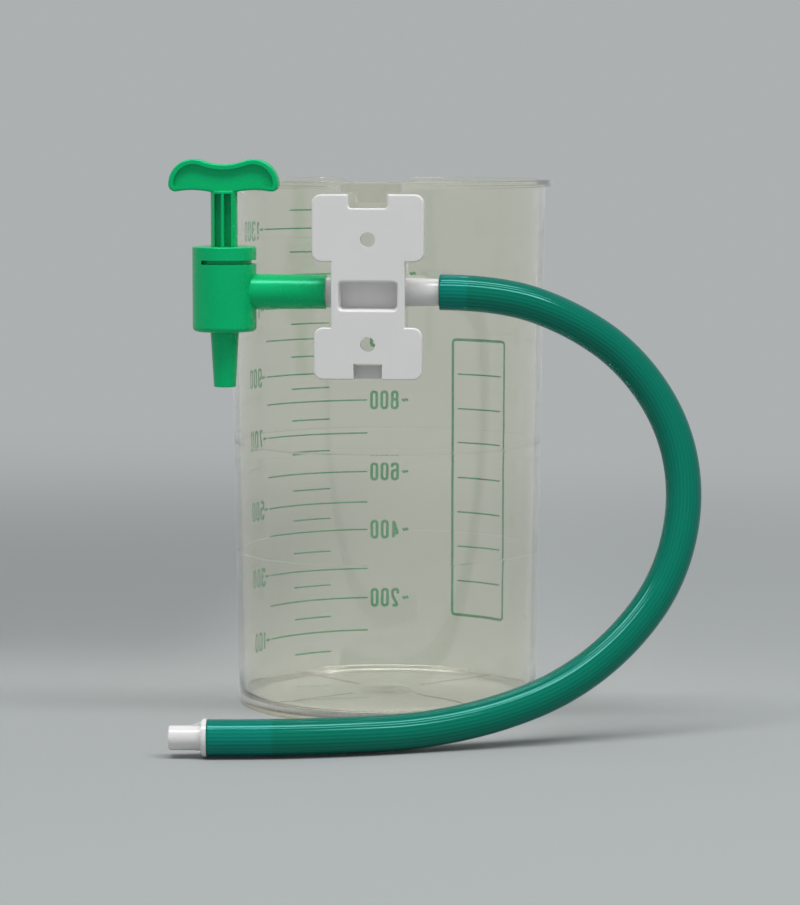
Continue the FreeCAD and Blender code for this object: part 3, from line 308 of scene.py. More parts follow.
def softened(corners, cut, closed=True, steps=5):
    """An outline with a short parabola at each corner.

    Between the points P and Q at the cut distance from a corner C along its two sides, the curve
    is (1 - t)^2 P + 2 t (1 - t) C + t^2 Q. A cut is never more than 0.48 of the shorter side.
    """
    corners = np.asarray(corners, float)
    back = np.roll(corners, 1, 0) - corners
    on = np.roll(corners, -1, 0) - corners
    shorter = np.minimum(np.linalg.norm(back, axis=1), np.linalg.norm(on, axis=1))
    cuts = np.minimum(np.broadcast_to(cut, shorter.shape), 0.48 * shorter)
    if not closed:
        cuts[[0, -1]] = 0
    start = (corners + unit(back) * cuts[:, None])[:, None]
    end = (corners + unit(on) * cuts[:, None])[:, None]
    t = np.linspace(0, 1, steps)[None, :, None]
    curve = (1 - t) ** 2 * start + 2 * t * (1 - t) * corners[:, None] + t ** 2 * end
    line = curve.reshape(-1, corners.shape[1])
    apart = np.linalg.norm(line - np.roll(line, 1, 0), axis=1) > 1e-7
    apart[0] = True
    return line[apart]


def refined(line, step):
    """The same line with more points on it, none of them further than a step from the next."""
    lengths = np.linalg.norm(np.diff(line, axis=0), axis=1)
    pieces = np.maximum(np.ceil(lengths / step).astype(int), 1)
    first = np.repeat(np.arange(len(pieces)), pieces)
    rank = np.arange(len(first)) - np.repeat(np.cumsum(pieces) - pieces, pieces)
    share = (rank / pieces[first])[:, None]
    inner = line[first] * (1 - share) + line[first + 1] * share
    return np.vstack([inner, line[-1:]])


def revolved(profile, segments):
    """Each profile point (r, z) carried round the axis: (r cos a, r sin a, z)."""
    angle = np.linspace(0, 2 * math.pi, segments, endpoint=False)
    radius, height = profile[:, :1], profile[:, 1:]
    return np.stack([radius * np.cos(angle), radius * np.sin(angle), height + 0 * angle], -1)


def grid_faces(rows, columns, wrap_rows=False, wrap_columns=False):
    """Quads of a grid of points, row by row. A wrapped direction joins its last line to its
    first."""
    i = np.arange(rows if wrap_rows else rows - 1)[:, None]
    j = np.arange(columns if wrap_columns else columns - 1)[None, :]
    right, down = (j + 1) % columns, (i + 1) % rows
    quads = np.stack(np.broadcast_arrays(i * columns + j, i * columns + right,
                                         down * columns + right, down * columns + j), -1)
    return quads.reshape(-1, 4)


def fan(hub, ring, columns):
    """Triangles from a hub point to a ring of points, whose first point is given."""
    j = np.arange(columns)
    return np.stack([np.full(columns, hub), ring + j, ring + (j + 1) % columns], 1)


def new_mesh(name, points, faces):
    """A mesh object at the origin from an array of points and arrays of faces."""
    mesh = bpy.data.meshes.new(name)
    lists = [face for group in faces for face in group.tolist()]
    mesh.from_pydata(points.reshape(-1, 3).tolist(), [], lists)
    mesh.validate()
    piece = bpy.data.objects.new(name, mesh)
    bpy.context.scene.collection.objects.link(piece)
    return piece


def prism(name, rings):
    """Two matching rings of points, joined by quads and closed by a flat end on each."""
    count = rings.shape[1]
    ends = [np.arange(count)[None, ::-1], (np.arange(count) + count)[None]]
    return new_mesh(name, rings, [grid_faces(2, count, wrap_columns=True), *ends])


def bar(name, low, high, corner, along):
    """A prism with a rounded rectangle as its section, straight along one axis."""
    low, high = np.array(low), np.array(high)
    axes = [axis for axis in range(3) if axis != along]
    (left, bottom), (right, top) = low[axes], high[axes]
    flat = np.array([(left, bottom), (right, bottom), (right, top), (left, top)])
    if along == 1:
        flat = flat[::-1]
    section = softened(flat, corner)
    rings = np.zeros((2, len(section), 3))
    rings[:, :, axes] = section
    rings[0, :, along], rings[1, :, along] = low[along], high[along]
    return prism(name, rings)


def barrel(name, start, length, radius, along, segments=64):
    """A prism with a circle as its section, from a point straight along one axis."""
    angle = np.linspace(0, 2 * math.pi, segments, endpoint=False)
    rings = np.zeros((2, segments, 3)) + np.array(start)
    rings[:, :, (along + 1) % 3] += radius * np.cos(angle)
    rings[:, :, (along + 2) % 3] += radius * np.sin(angle)
    rings[1, :, along] += length
    return prism(name, rings)


def turned(piece, degrees):
    """The piece turned about the Z axis: (x cos a - y sin a, x sin a + y cos a, z)."""
    cosine, sine = math.cos(math.radians(degrees)), math.sin(math.radians(degrees))
    points = np.zeros(len(piece.data.vertices) * 3)
    piece.data.vertices.foreach_get("co", points)
    x, y, z = points.reshape(-1, 3).T
    moved = np.stack([x * cosine - y * sine, x * sine + y * cosine, z], 1)
    piece.data.vertices.foreach_set("co", moved.ravel())
    piece.data.update()
    return piece


def combined(piece, parts, operation):
    """The piece with parts joined to it or cut from it, and the parts removed."""
    for part in parts:
        modifier = piece.modifiers.new(part.name, "BOOLEAN")
        modifier.object = part
        modifier.operation = operation
        modifier.solver = "EXACT"
    evaluated = piece.evaluated_get(bpy.context.evaluated_depsgraph_get())
    mesh = bpy.data.meshes.new_from_object(evaluated)
    piece.modifiers.clear()
    old, piece.data = piece.data, mesh
    for used in (old, *(part.data for part in parts)):
        bpy.data.meshes.remove(used)
    return piece


def shade(piece, degrees):
    """Smooth shading, kept sharp where two faces meet at more than an angle."""
    piece.data.shade_smooth()
    piece.data.set_sharp_from_angle(angle=math.radians(degrees))
    return piece


# Materials

def feed(tree, made, values):
    """Fill a node's inputs, each with a plain value or with a link from another node's socket."""
    for key, value in values.items():
        if isinstance(value, bpy.types.NodeSocket):
            tree.links.new(value, made.inputs[key])
        else:
            made.inputs[key].default_value = value


def node(tree, kind, inputs=None, **properties):
    """A new node with its properties set and its inputs filled."""
    made = tree.nodes.new(kind)
    for key, value in properties.items():
        setattr(made, key, value)
    feed(tree, made, inputs or {})
    return made


def object_place(tree):
    return node(tree, "ShaderNodeTexCoord").outputs["Object"]


def noise(tree, place, scale, detail=2.0, roughness=0.5):
    inputs = {"Vector": place, "Scale": scale, "Detail": detail, "Roughness": roughness}
    return node(tree, "ShaderNodeTexNoise", inputs).outputs["Fac"]


def bump(tree, height, strength, distance):
    inputs = {"Height": height, "Strength": strength, "Distance": distance}
    return node(tree, "ShaderNodeBump", inputs).outputs["Normal"]


def arithmetic(tree, operation, first, second):
    """A sum on two numbers or sockets."""
    return node(tree, "ShaderNodeMath", {0: first, 1: second}, operation=operation).outputs[0]


def scaled(tree, vector, factor):
    """A colour or vector times a number."""
    inputs = {0: vector, "Scale": factor}
    return node(tree, "ShaderNodeVectorMath", inputs, operation="SCALE").outputs[0]


def blended(tree, factor, first, second):
    """A colour mix whose factor and two colours are values or sockets."""
    inputs = {0: factor, 6: first, 7: second}
    return node(tree, "ShaderNodeMix", inputs, data_type="RGBA").outputs[2]


def ramp(tree, source, low, high, start=0.0, end=1.0, kind="SMOOTHSTEP"):
    """A value taken from one range to another, eased at both ends or in a straight line."""
    inputs = {"Value": source, "From Min": low, "From Max": high, "To Min": start, "To Max": end}
    return node(tree, "ShaderNodeMapRange", inputs, interpolation_type=kind).outputs["Result"]


def rgba(colour, gain=1.0):
    """A linear colour times a gain, with full alpha."""
    return (*(gain * np.array(colour)), 1)


def new_material(name):
    material = bpy.data.materials.new(name)
    material.use_nodes = True
    return material, material.node_tree, material.node_tree.nodes["Principled BSDF"]


def new_group(name, inputs, outputs):
    """A shader node group with named sockets, the sockets it is given and its output node."""
    group = bpy.data.node_groups.new(name, "ShaderNodeTree")
    for label, kind, value in inputs:
        socket = group.interface.new_socket(label, in_out="INPUT", socket_type=kind)
        socket.default_value = value
    for label, kind in outputs:
        group.interface.new_socket(label, in_out="OUTPUT", socket_type=kind)
    return group, group.nodes.new("NodeGroupInput").outputs, group.nodes.new("NodeGroupOutput")


def moulded_group():
    """Moulded plastic: slow shade changes, a fine grain, and faint rubbed streaks."""
    name = "Moulded surface"
    if name in bpy.data.node_groups:
        return bpy.data.node_groups[name]
    group, given, made = new_group(name, [
        ("Colour", "NodeSocketColor", (0.8, 0.8, 0.8, 1)),
        ("Shade", "NodeSocketFloat", 0.06),
        ("Grain", "NodeSocketFloat", 0.3),
        ("Roughness", "NodeSocketFloat", 0.35),
        ("Rub", "NodeSocketFloat", 0.08),
    ], [("Colour", "NodeSocketColor"), ("Roughness", "NodeSocketFloat"),
        ("Height", "NodeSocketFloat")])
    place = object_place(group)
    slow = noise(group, place, 55.0)
    fine = noise(group, place, 2600.0, detail=1.0)
    streaks = noise(group, place, 210.0, detail=4.0, roughness=0.62)
    swing = arithmetic(group, "SUBTRACT", slow, 0.5)
    shift = arithmetic(group, "MULTIPLY", swing, given["Shade"])
    gain = arithmetic(group, "ADD", arithmetic(group, "MULTIPLY", shift, 2.0), 1.0)
    worn = ramp(group, streaks, 0.52, 0.75, kind="LINEAR")
    rub = arithmetic(group, "MULTIPLY", worn, given["Rub"])
    feed(group, made, {
        "Colour": scaled(group, given["Colour"], gain),
        "Roughness": arithmetic(group, "ADD", given["Roughness"], rub),
        "Height": arithmetic(group, "MULTIPLY", fine, given["Grain"]),
    })
    return group


def moulded(name, colour, roughness, swing, scatter=0.0, gloss=0.5, sheen=(1, 1, 1)):
    """A moulded plastic material: the shared surface group feeding colour, roughness and bump.
    Swing is how far its shade changes, scatter how much light enters it."""
    material, tree, shader = new_material(name)
    inputs = {"Colour": rgba(colour), "Shade": swing, "Grain": 0.3, "Roughness": roughness,
              "Rub": 0.08}
    surface = node(tree, "ShaderNodeGroup", inputs, node_tree=moulded_group()).outputs
    feed(tree, shader, {
        "Base Color": surface["Colour"],
        "Roughness": surface["Roughness"],
        "Normal": bump(tree, surface["Height"], 0.6, 0.02 * MM),
        "Specular IOR Level": gloss,
        "Specular Tint": rgba(sheen),
        "Subsurface Weight": scatter,
        "Subsurface Radius": (1.0, 1.0, 1.0),
        "Subsurface Scale": 1.5 * MM,
    })
    return material


def cup_material(finishes):
    """Clear, slightly yellow plastic with a faintly uneven, lightly milky surface. It is deeper in
    colour at the foot and where the lug and ribs stand out, and amber at the foot's edge."""
    material, tree, shader = new_material("clear_cup")
    place = object_place(tree)
    waves = noise(tree, place, 38.0, detail=1.5)
    haze = noise(tree, place, 16.0, detail=3.0)
    height = node(tree, "ShaderNodeSeparateXYZ", {0: place}).outputs["Z"]
    across = node(tree, "ShaderNodeVectorMath", {0: place, 1: (1, 1, 0)}, operation="MULTIPLY")
    reach = node(tree, "ShaderNodeVectorMath", {0: across.outputs[0]}, operation="LENGTH")
    radius = reach.outputs["Value"]
    foot = ramp(tree, height, 0.5 * MM, 4.5 * MM, 1.0, 0.0)
    edge = arithmetic(tree, "MULTIPLY", foot, ramp(tree, radius, 46 * MM, 51 * MM))
    proud = ramp(tree, radius, 57.8 * MM, 59.2 * MM)
    clear = blended(tree, haze, rgba(finishes.cup), rgba(finishes.cup, 0.985))
    clear = blended(tree, arithmetic(tree, "MULTIPLY", foot, 0.4), clear, rgba(finishes.foot))
    clear = blended(tree, proud, clear, rgba(finishes.lug))
    clear = blended(tree, arithmetic(tree, "MULTIPLY", edge, 0.6), clear, rgba(finishes.amber))
    sleek = ramp(tree, haze, 0, 1, 0.004, 0.02, "LINEAR")
    feed(tree, shader, {
        "Base Color": clear,
        "Roughness": arithmetic(tree, "ADD", sleek, arithmetic(tree, "MULTIPLY", edge, 0.2)),
        "Normal": bump(tree, waves, 0.3, 0.25 * MM),
        "Transmission Weight": 0.99,
        "IOR": 1.43,
        "Coat Weight": 0.6,
        "Coat Roughness": 0.1,
        "Sheen Weight": 0.35,
        "Sheen Roughness": 0.3,
    })
    return material


def ink_material(colour):
    """Screen-printed ink: a little uneven in strength, with fine missed specks."""
    material, tree, shader = new_material("scale_ink")
    place = object_place(tree)
    patchy = noise(tree, place, 420.0, detail=4.0, roughness=0.7)
    light = [min(1.0, 1.25 * value + 0.03) for value in colour]
    feed(tree, shader, {
        "Base Color": blended(tree, noise(tree, place, 30.0), rgba(colour), rgba(light)),
        "Alpha": ramp(tree, patchy, 0.3, 0.5, 0.88, 1.0, "LINEAR"),
        "Roughness": 0.5,
    })
    return material


def hose_material(hose, sleeve):
    """Soft green tubing with painted light on its ribs: painted shade in the grooves and a painted
    highlight on the rib crests, and a lighter shade over its fittings. The mesh's rib attribute is
    1 on a crest, and filled is 1 over a fitting."""
    material, tree, shader = new_material("green_hose")
    rib, filled = (node(tree, "ShaderNodeAttribute", attribute_name=name).outputs["Fac"]
                   for name in ("rib", "filled"))
    place = object_place(tree)
    # Painted shade in the grooves and a painted highlight on the crests, mixed by the rib
    # attribute.
    groove_shade = blended(tree, filled, rgba(hose, 0.85), rgba(sleeve, 0.88))
    crest = blended(tree, filled, rgba(hose, 1.1), rgba(sleeve, 1.1))
    bloom = arithmetic(tree, "MULTIPLY", noise(tree, place, 70.0), 0.14)
    feed(tree, shader, {
        "Base Color": blended(tree, bloom, blended(tree, rib, groove_shade, crest), rgba(hose, 1.5)),
        "Roughness": ramp(tree, rib, 0, 1, 0.16, 0.09, "LINEAR"),
        "Normal": bump(tree, noise(tree, place, 900.0, detail=3.0), 0.15, 0.005 * MM),
        "Specular Tint": (0.08, 1.0, 0.85, 1),
        "Coat Weight": 1.0,
        "Coat Roughness": 0.07,
        "Coat IOR": 1.24,
        "Coat Tint": (0.2, 0.6, 0.68, 1),
    })
    return material


def floor_material(colour, backdrop):
    """Plain studio paper with a soft painted shade behind the object, deeper on the left, that
    darkens both its colour and its glow. Away from the object it gives way to the backdrop's own
    even tone, so that no horizon shows."""
    material, tree, shader = new_material("studio_floor")
    place = object_place(tree)
    parts = node(tree, "ShaderNodeSeparateXYZ", {0: place}).outputs
    distance = node(tree, "ShaderNodeVectorMath", {0: place}, operation="LENGTH")
    # Painted shade: the paper is darkened behind the object, more on the left than on the right.
    behind = arithmetic(tree, "MULTIPLY", ramp(tree, parts["Y"], 0.0, 0.16),
                        ramp(tree, parts["Y"], 0.2, 1.1, 1.0, 0.0))
    sideways = arithmetic(tree, "ADD", ramp(tree, parts["X"], -0.11, -0.03, 0.22, 0.0),
                          ramp(tree, parts["X"], 0.03, 0.12, 0.0, 0.06))
    painted_shade_band = arithmetic(tree, "MULTIPLY", behind, sideways)
    kept = arithmetic(tree, "SUBTRACT", 1.0, painted_shade_band)
    paper = blended(tree, noise(tree, place, 3.0), rgba(colour), rgba(colour, 0.98))
    far = ramp(tree, distance.outputs["Value"], 0.22, 0.9)
    feed(tree, shader, {
        "Base Color": scaled(tree, blended(tree, far, paper, BLACK), kept),
        "Emission Color": scaled(tree, blended(tree, far, BLACK, rgba(backdrop)), kept),
        "Emission Strength": 1.0,
        "Roughness": 0.9,
        "Specular IOR Level": 0.0,
    })
    return material


# The cup

def outer_radius(sizes, height):
    """Outer radius of the tapered wall at a height."""
    under_rim = sizes.height - sizes.flange_thickness
    return sizes.base_radius + (sizes.top_radius - sizes.base_radius) * height / under_rim


def ridge(half, proud):
    """A hairline ridge in a profile: places along it, and how far each stands out of it."""
    return (-half, 0), (0, proud), (half, 0)


def cup_profile(sizes):
    """The cup's half section from the floor's underside, up the outer wall, over the rim and down
    the inner wall to the middle of the floor, as (radius, height). Each corner below has a third
    value, how much it is softened."""
    ring = sizes.base_radius - sizes.foot_width
    rim = sizes.top_radius + sizes.flange_overhang
    under_rim = sizes.height - sizes.flange_thickness
    lip_bottom = sizes.height - sizes.lip_drop
    corners = [
        (0, sizes.foot_height, 0),
        (ring, sizes.foot_height, 0.4 * MM),
        (ring, 0, 0.5 * MM),
        (sizes.base_radius, 0, 0.75 * MM),
    ]
    for height in WALL_RINGS:
        for offset, proud in ridge(0.3, 0.05):
            up = height * MM + offset * MM
            corners.append((outer_radius(sizes, up) + proud * MM, up, 0.1 * MM))
    corners += [
        (sizes.top_radius, under_rim, 0.5 * MM),
        (rim - sizes.lip_width, under_rim, 0.3 * MM),
        (rim - sizes.lip_width, lip_bottom, 0.3 * MM),
        (rim, lip_bottom, 0.3 * MM),
        (rim, sizes.height, 0.45 * MM),
        (sizes.top_radius - sizes.wall, sizes.height, 0.6 * MM),
        (sizes.base_radius - sizes.wall, sizes.floor_top, 2.5 * MM),
    ]
    for radius in FLOOR_RINGS:
        for offset, proud in ridge(-0.25, 0.06):
            corners.append(((radius + offset) * MM, sizes.floor_top + proud * MM, 0.08 * MM))
    corners.append((0, sizes.floor_top, 0))
    corners = np.array(corners)
    return refined(softened(corners[:, :2], corners[:, 2], closed=False), 7 * MM)


def lowered_dip(points, sizes):
    """The pouring dip: points on the far side near the rim go down by the dip's depth, times a
    smooth step of their sideways distance from its middle, times a smooth step of their height."""
    turn = sizes.dip_turn
    sideways = points[..., 0] * math.cos(turn) + points[..., 1] * math.sin(turn)
    forwards = -points[..., 0] * math.sin(turn) + points[..., 1] * math.cos(turn)
    inside = sizes.dip_width / 2 + sizes.dip_slope / 2 - np.abs(sideways)
    across = smooth_step(inside / sizes.dip_slope) * (forwards > 0)
    up = smooth_step((points[..., 2] - DIP_FOOT) / DIP_RISE)
    lowered = points.copy()
    lowered[..., 2] -= sizes.dip_depth * across * up
    return lowered


def cup_shell(sizes):
    """The revolved half section with the dip, its two poles closed by fans of triangles."""
    profile = cup_profile(sizes)
    grid = lowered_dip(revolved(profile[1:-1], sizes.segments), sizes)
    rows, columns = grid.shape[:2]
    poles = np.array([(0, 0, profile[0, 1]), (0, 0, profile[-1, 1])])
    points = np.vstack([grid.reshape(-1, 3), poles])
    count = rows * columns
    under = fan(count, 0, columns)[:, [0, 2, 1]]
    over = fan(count + 1, count - columns, columns)
    sides = grid_faces(rows, columns, wrap_columns=True)
    return new_mesh("canister_shell", points, [sides, under, over])


def cup_fittings(sizes):
    """The lug, ribs, port boss and floor lines that are one with the cup, then the port and the
    tee's notch that are cut from them."""
    boss_face = -outer_radius(sizes, TEE_HEIGHT) - BOSS_PROUD
    added = [bar(name, low, high, corner, 1) for name, (low, high, corner) in LUG_AND_RIBS.items()]
    added.append(barrel("port_boss", (0, boss_face, TEE_HEIGHT), BOSS_LENGTH, BOSS_RADIUS, 1))
    added += [turned(bar("floor_line", *FLOOR_LINE, 0.15 * MM, 0), degrees)
              for degrees in FLOOR_LINE_TURNS]
    mouth = ((-NOTCH_REACH, NOTCH_FRONT, TEE_HEIGHT - NOTCH_RADIUS),
             (NOTCH_REACH, -TEE_REACH, TEE_HEIGHT + NOTCH_RADIUS))
    removed = [
        barrel("port_bore", (0, PORT_START, TEE_HEIGHT), PORT_LENGTH, PORT_RADIUS, 1),
        barrel("rib_notch", (-NOTCH_REACH, -TEE_REACH, TEE_HEIGHT), 2 * NOTCH_REACH,
               NOTCH_RADIUS, 0),
        bar("notch_mouth", *mouth, 0.01 * MM, 0),
    ]
    return added, removed


# The print

def ribbon(line, width, closed, thickness):
    """A flat bar along a line in the plane: its four edges are the line moved by half the width to
    each side, on the plane and above it. Returns points (across, up, out) and faces."""
    if closed:
        tangent = unit(np.roll(line, -1, 0) - np.roll(line, 1, 0))
    else:
        tangent = unit(np.gradient(line, axis=0))
    side = np.stack([-tangent[:, 1], tangent[:, 0]], 1) * width / 2
    left, right = line + side, line - side
    rails = [(left, 0.0), (left, thickness), (right, thickness), (right, 0.0)]
    points = np.stack([np.column_stack([edge, np.full(len(edge), out)]) for edge, out in rails], 1)
    faces = grid_faces(len(line), 4, wrap_rows=closed, wrap_columns=True)
    if not closed:
        last = (len(line) - 1) * 4
        ends = np.array([[0, 1, 2, 3], [last + 3, last + 2, last + 1, last]])
        faces = np.vstack([faces, ends])
    return points.reshape(-1, 3), faces


def word_width(word, sizes):
    """Width of a word of numerals over its strokes."""
    wide = sum(SIGN_WIDTH.get(sign, 1.0) for sign in word) * sizes.numeral_width
    return wide + (len(word) - 1) * sizes.numeral_gap


def word_strokes(word, start, middle, width, sizes):
    """Strokes of a word of numerals, each as (closed, centre line, width). It begins at a place
    across the wall and runs in the direction of falling angle, so that it reads from outside."""
    wide = sizes.numeral_width - sizes.stroke
    high = sizes.numeral_height - sizes.stroke
    strokes = []
    for sign in word:
        share = SIGN_WIDTH.get(sign, 1.0)
        for closed, corners in NUMERALS[sign]:
            flat = np.array(corners, float)
            across = start - sizes.stroke / 2 - flat[:, 0] * wide * share
            up = middle + (flat[:, 1] - 0.5) * high * SIGN_HEIGHT.get(sign, 1.0)
            cut = SIGN_CUT.get(sign, FULL_CUT)
            strokes.append((closed, softened(np.stack([across, up], 1), cut, closed, 6), width))
        start -= sizes.numeral_width * share + sizes.numeral_gap
    return strokes


def scale_strokes(cup, sizes):
    """Every line and numeral of the scale as (closed, centre line, width). The words of the even
    hundreds end beside their lines and those of the odd hundreds begin beside them."""
    def across(degrees, height):
        return math.radians(degrees - VIEW_TURN) * outer_radius(cup, height)

    strokes = []
    for volume, millimetres in MARKS:
        height = millimetres * MM
        hundreds, rest = divmod(volume, 100)
        left, right = FIFTY_LINE if rest else HUNDRED_LINE
        line = np.array([(across(left, height), height), (across(right, height), height)])
        strokes.append((False, refined(line, 1.5 * MM), sizes.line))
        if rest:
            continue
        word = str(volume)
        if hundreds % 2 == 0:
            start = across(EVEN_WORD_END, height) + word_width(word, sizes)
            tilde = start + sizes.numeral_gap + sizes.numeral_width
        else:
            start = across(ODD_WORD_START, height)
            tilde = start + sizes.numeral_gap + ODD_TILDE * sizes.numeral_width
        strokes += word_strokes(word, start, height, sizes.stroke, sizes)
        strokes += word_strokes("~", tilde, height, TILDE_STROKE * sizes.stroke, sizes)
    return strokes


def panel_strokes(sizes):
    """Lines of a write-on panel beside the scale, a tall frame with ruled lines in it, each as
    (closed, centre line, width)."""
    left, right = PANEL_SIDES
    low, high = PANEL_ENDS
    loop = softened([(left, low), (right, low), (right, high), (left, high)], 1.6 * MM)
    frame_loop = refined(np.vstack([loop, loop[:1]]), 2 * MM)[:-1]
    strokes = [(True, frame_loop, sizes.frame_line)]
    for height in np.linspace(low, high, PANEL_LINES + 2)[1:-1]:
        line = np.array([(left + PANEL_MARGIN, height), (right - PANEL_MARGIN, height)])
        strokes.append((False, refined(line, 1.5 * MM), sizes.ruled_line))
    return strokes


def wrapped(points, cup, lift):
    """Points (across, up, out) laid on the tapered wall: the angle from the far side is the
    distance across over the radius, and the radius is the wall's there plus the distance out."""
    across, up, out = points.T
    radius = outer_radius(cup, up)
    angle = across / radius
    reach = radius + lift + out
    return np.stack([reach * np.sin(angle), reach * np.cos(angle), up], 1)


def print_piece(name, strokes, cup, sizes):
    """All strokes as one mesh of thin bars on the outside of the wall."""
    points, faces, count = [], [], 0
    for closed, line, width in strokes:
        flat, quads = ribbon(line, width, closed, sizes.ink)
        points.append(flat)
        faces.append(quads + count)
        count += len(flat)
    return new_mesh(name, wrapped(np.vstack(points), cup, sizes.lift), [np.vstack(faces)])


# The hose

def spline_points(route):
    """The points of a smooth NURBS line whose control points are the route's."""
    curve = bpy.data.curves.new("hose_line", "CURVE")
    curve.dimensions = "3D"
    curve.resolution_u = 64
    spline = curve.splines.new("NURBS")
    spline.points.add(len(route) - 1)
    spline.points.foreach_set("co", [value for point in route for value in (*point, 1.0)])
    spline.order_u = 3
    spline.use_endpoint_u = True
    holder = bpy.data.objects.new("hose_line", curve)
    bpy.context.scene.collection.objects.link(holder)
    mesh = bpy.data.meshes.new_from_object(holder)
    points = np.zeros(len(mesh.vertices) * 3)
    mesh.vertices.foreach_get("co", points)
    bpy.data.meshes.remove(mesh)
    bpy.data.curves.remove(curve)
    return points.reshape(-1, 3)


def distances(path):
    """How far along a path each of its points lies."""
    lengths = np.linalg.norm(np.diff(path, axis=0), axis=1)
    return np.concatenate([[0], np.cumsum(lengths)])


def carried_frames(path):
    """Unit tangents of a path and a unit vector square to each, carried along without twist: each
    is the one before less its part along the new tangent."""
    tangents = unit(np.gradient(path, axis=0))
    sides = np.zeros_like(path)
    side = np.cross(tangents[0], (0.0, 0.0, 1.0))
    for index, tangent in enumerate(tangents):
        side = unit(side - tangent * (side @ tangent))
        sides[index] = side
    return tangents, sides


def tube_rows(path, places):
    """Points of a path at given distances along it, and two unit vectors square to it there."""
    along = distances(path)
    centre, tangent, side = (
        np.stack([np.interp(places, along, column) for column in rows.T], 1)
        for rows in (path, *carried_frames(path)))
    return centre, unit(side), np.cross(unit(tangent), unit(side))


def hose_tube(path, sizes):
    """A ribbed tube: at each place the outer radius is the full radius less the rib depth times
    half of one less the cosine of ribs times the angle, and less what its ends are drawn in. The
    inner face returns inside it."""
    total = distances(path)[-1]
    edge, drawn = np.array(END_ROWS).T * MM
    middle = np.linspace(END_LENGTH, total - END_LENGTH, OUTER_ROWS)
    outside = np.concatenate([edge, middle, total - edge[::-1]])
    inside = np.linspace(total, 0, INNER_ROWS)
    places = np.concatenate([outside, inside])
    centre, first, second = tube_rows(path, places)
    columns = RIB_POINTS * sizes.ribs
    angle = np.linspace(0, 2 * math.pi, columns, endpoint=False)
    wave = 0.5 + 0.5 * np.cos(sizes.ribs * angle)
    drawn_in = np.concatenate([drawn, 0 * middle, drawn[::-1]])
    outer = sizes.diameter / 2 - sizes.rib_depth * (1 - wave)[None, :] - drawn_in[:, None]
    inner = np.full((len(inside), columns), sizes.bore / 2)
    radius = np.vstack([outer, inner])[..., None]
    cosine, sine = np.cos(angle)[None, :, None], np.sin(angle)[None, :, None]
    grid = centre[:, None] + radius * (cosine * first[:, None] + sine * second[:, None])
    piece = new_mesh("hose_tube", grid, [grid_faces(len(places), columns, True, True)[:, ::-1]])
    crest = np.vstack([np.broadcast_to(wave, outer.shape), np.zeros(inner.shape)])
    blend = 0.8 * MM
    filled = np.maximum(smooth_step((sizes.start_sleeve + blend / 2 - places) / blend),
                        smooth_step((places - total + sizes.end_sleeve + blend / 2) / blend))
    filled = np.broadcast_to(filled[:, None], crest.shape)
    for name, values in (("rib", crest), ("filled", filled)):
        layer = piece.data.attributes.new(name, "FLOAT", "POINT")
        layer.data.foreach_set("value", np.ascontiguousarray(values).ravel())
    return shade(piece, 60)


# The fittings

def dress(name, material):
    """Give a carried-over solid its material."""
    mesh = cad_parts[name].data
    mesh.materials.clear()
    mesh.materials.append(material)
    mesh.polygons.foreach_set("material_index", np.zeros(len(mesh.polygons), np.int32))


# The stage

def placed(scene, name, data, place, rotation):
    """A camera or light, put in the scene at a place and turned."""
    thing = bpy.data.objects.new(name, data)
    thing.location = place
    thing.rotation_euler = rotation
    scene.collection.objects.link(thing)
    return thing


def add_camera(scene):
    """The photograph's own view of the object."""
    camera = bpy.data.cameras.new("camera")
    camera.lens = LENS
    camera.sensor_width = SENSOR
    rotation = (math.radians(90 - VIEW_TILT), 0, math.radians(VIEW_TURN))
    scene.camera = placed(scene, "camera", camera, EYE, rotation)


def add_floor(material):
    """A wide round floor of flat rings about its middle."""
    radii = np.array(STUDIO_RINGS)
    grid = revolved(np.stack([radii, 0 * radii], 1), STUDIO_SEGMENTS)
    rows, columns = grid.shape[:2]
    points = np.vstack([grid.reshape(-1, 3), [(0, 0, 0)]])
    faces = [grid_faces(rows, columns, wrap_columns=True)[:, ::-1], fan(rows * columns, 0, columns)]
    floor = new_mesh("floor", points, faces)
    floor.data.materials.append(material)
    return floor


def add_world(scene, backdrop):
    """Even light from all round, in the backdrop's tone. Cycles samples the world as a light only
    where its shader depends on the direction, so the strength, 1 all round, is read from there."""
    world = bpy.data.worlds.new("studio")
    world.use_nodes = True
    tree = world.node_tree
    way = node(tree, "ShaderNodeTexCoord").outputs["Generated"]
    ahead = node(tree, "ShaderNodeSeparateXYZ", {0: way}).outputs["Y"]
    strength = ramp(tree, ahead, 0.0, 1.0, 1.0, 1.0)
    feed(tree, tree.nodes["Background"], {"Color": rgba(backdrop), "Strength": strength})
    scene.world = world


def add_light(scene, name, power):
    """A soft rectangular light that faces its aim."""
    (wide, deep), place, aim = LIGHTS[name]
    light = bpy.data.lights.new(name, "AREA")
    light.energy = power
    light.shape = "RECTANGLE"
    light.size = wide
    light.size_y = deep
    rotation = (Vector(aim) - Vector(place)).to_track_quat("-Z", "Y").to_euler()
    placed(scene, name, light, place, rotation)


class StageOperator(bpy.types.Operator):
    """Camera, seamless floor and soft light."""

    bl_idname = "canister.stage"
    bl_label = "Stage"

    def execute(self, context):
        scene = context.scene
        settings = scene.canister_stage
        add_camera(scene)
        floor = add_floor(floor_material(settings.floor, settings.backdrop))
        add_world(scene, settings.backdrop)
        scene.view_settings.view_transform = "Standard"
        for name in LIGHTS:
            add_light(scene, name, getattr(settings, name))
        return {"FINISHED"}


class HoseOperator(bpy.types.Operator):
    """Ribbed hose along its spline, from the tee to the connector."""

    bl_idname = "canister.hose"
    bl_label = "Hose"

    def execute(self, context):
        sizes = context.scene.canister_hose
        finishes = context.scene.canister_finishes
        path = spline_points(HOSE_ROUTE)
        hose = hose_tube(path, sizes)
        hose.data.materials.append(hose_material(finishes.hose, finishes.sleeve))
        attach(hose, "canister_set")
        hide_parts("hose")
        return {"FINISHED"}


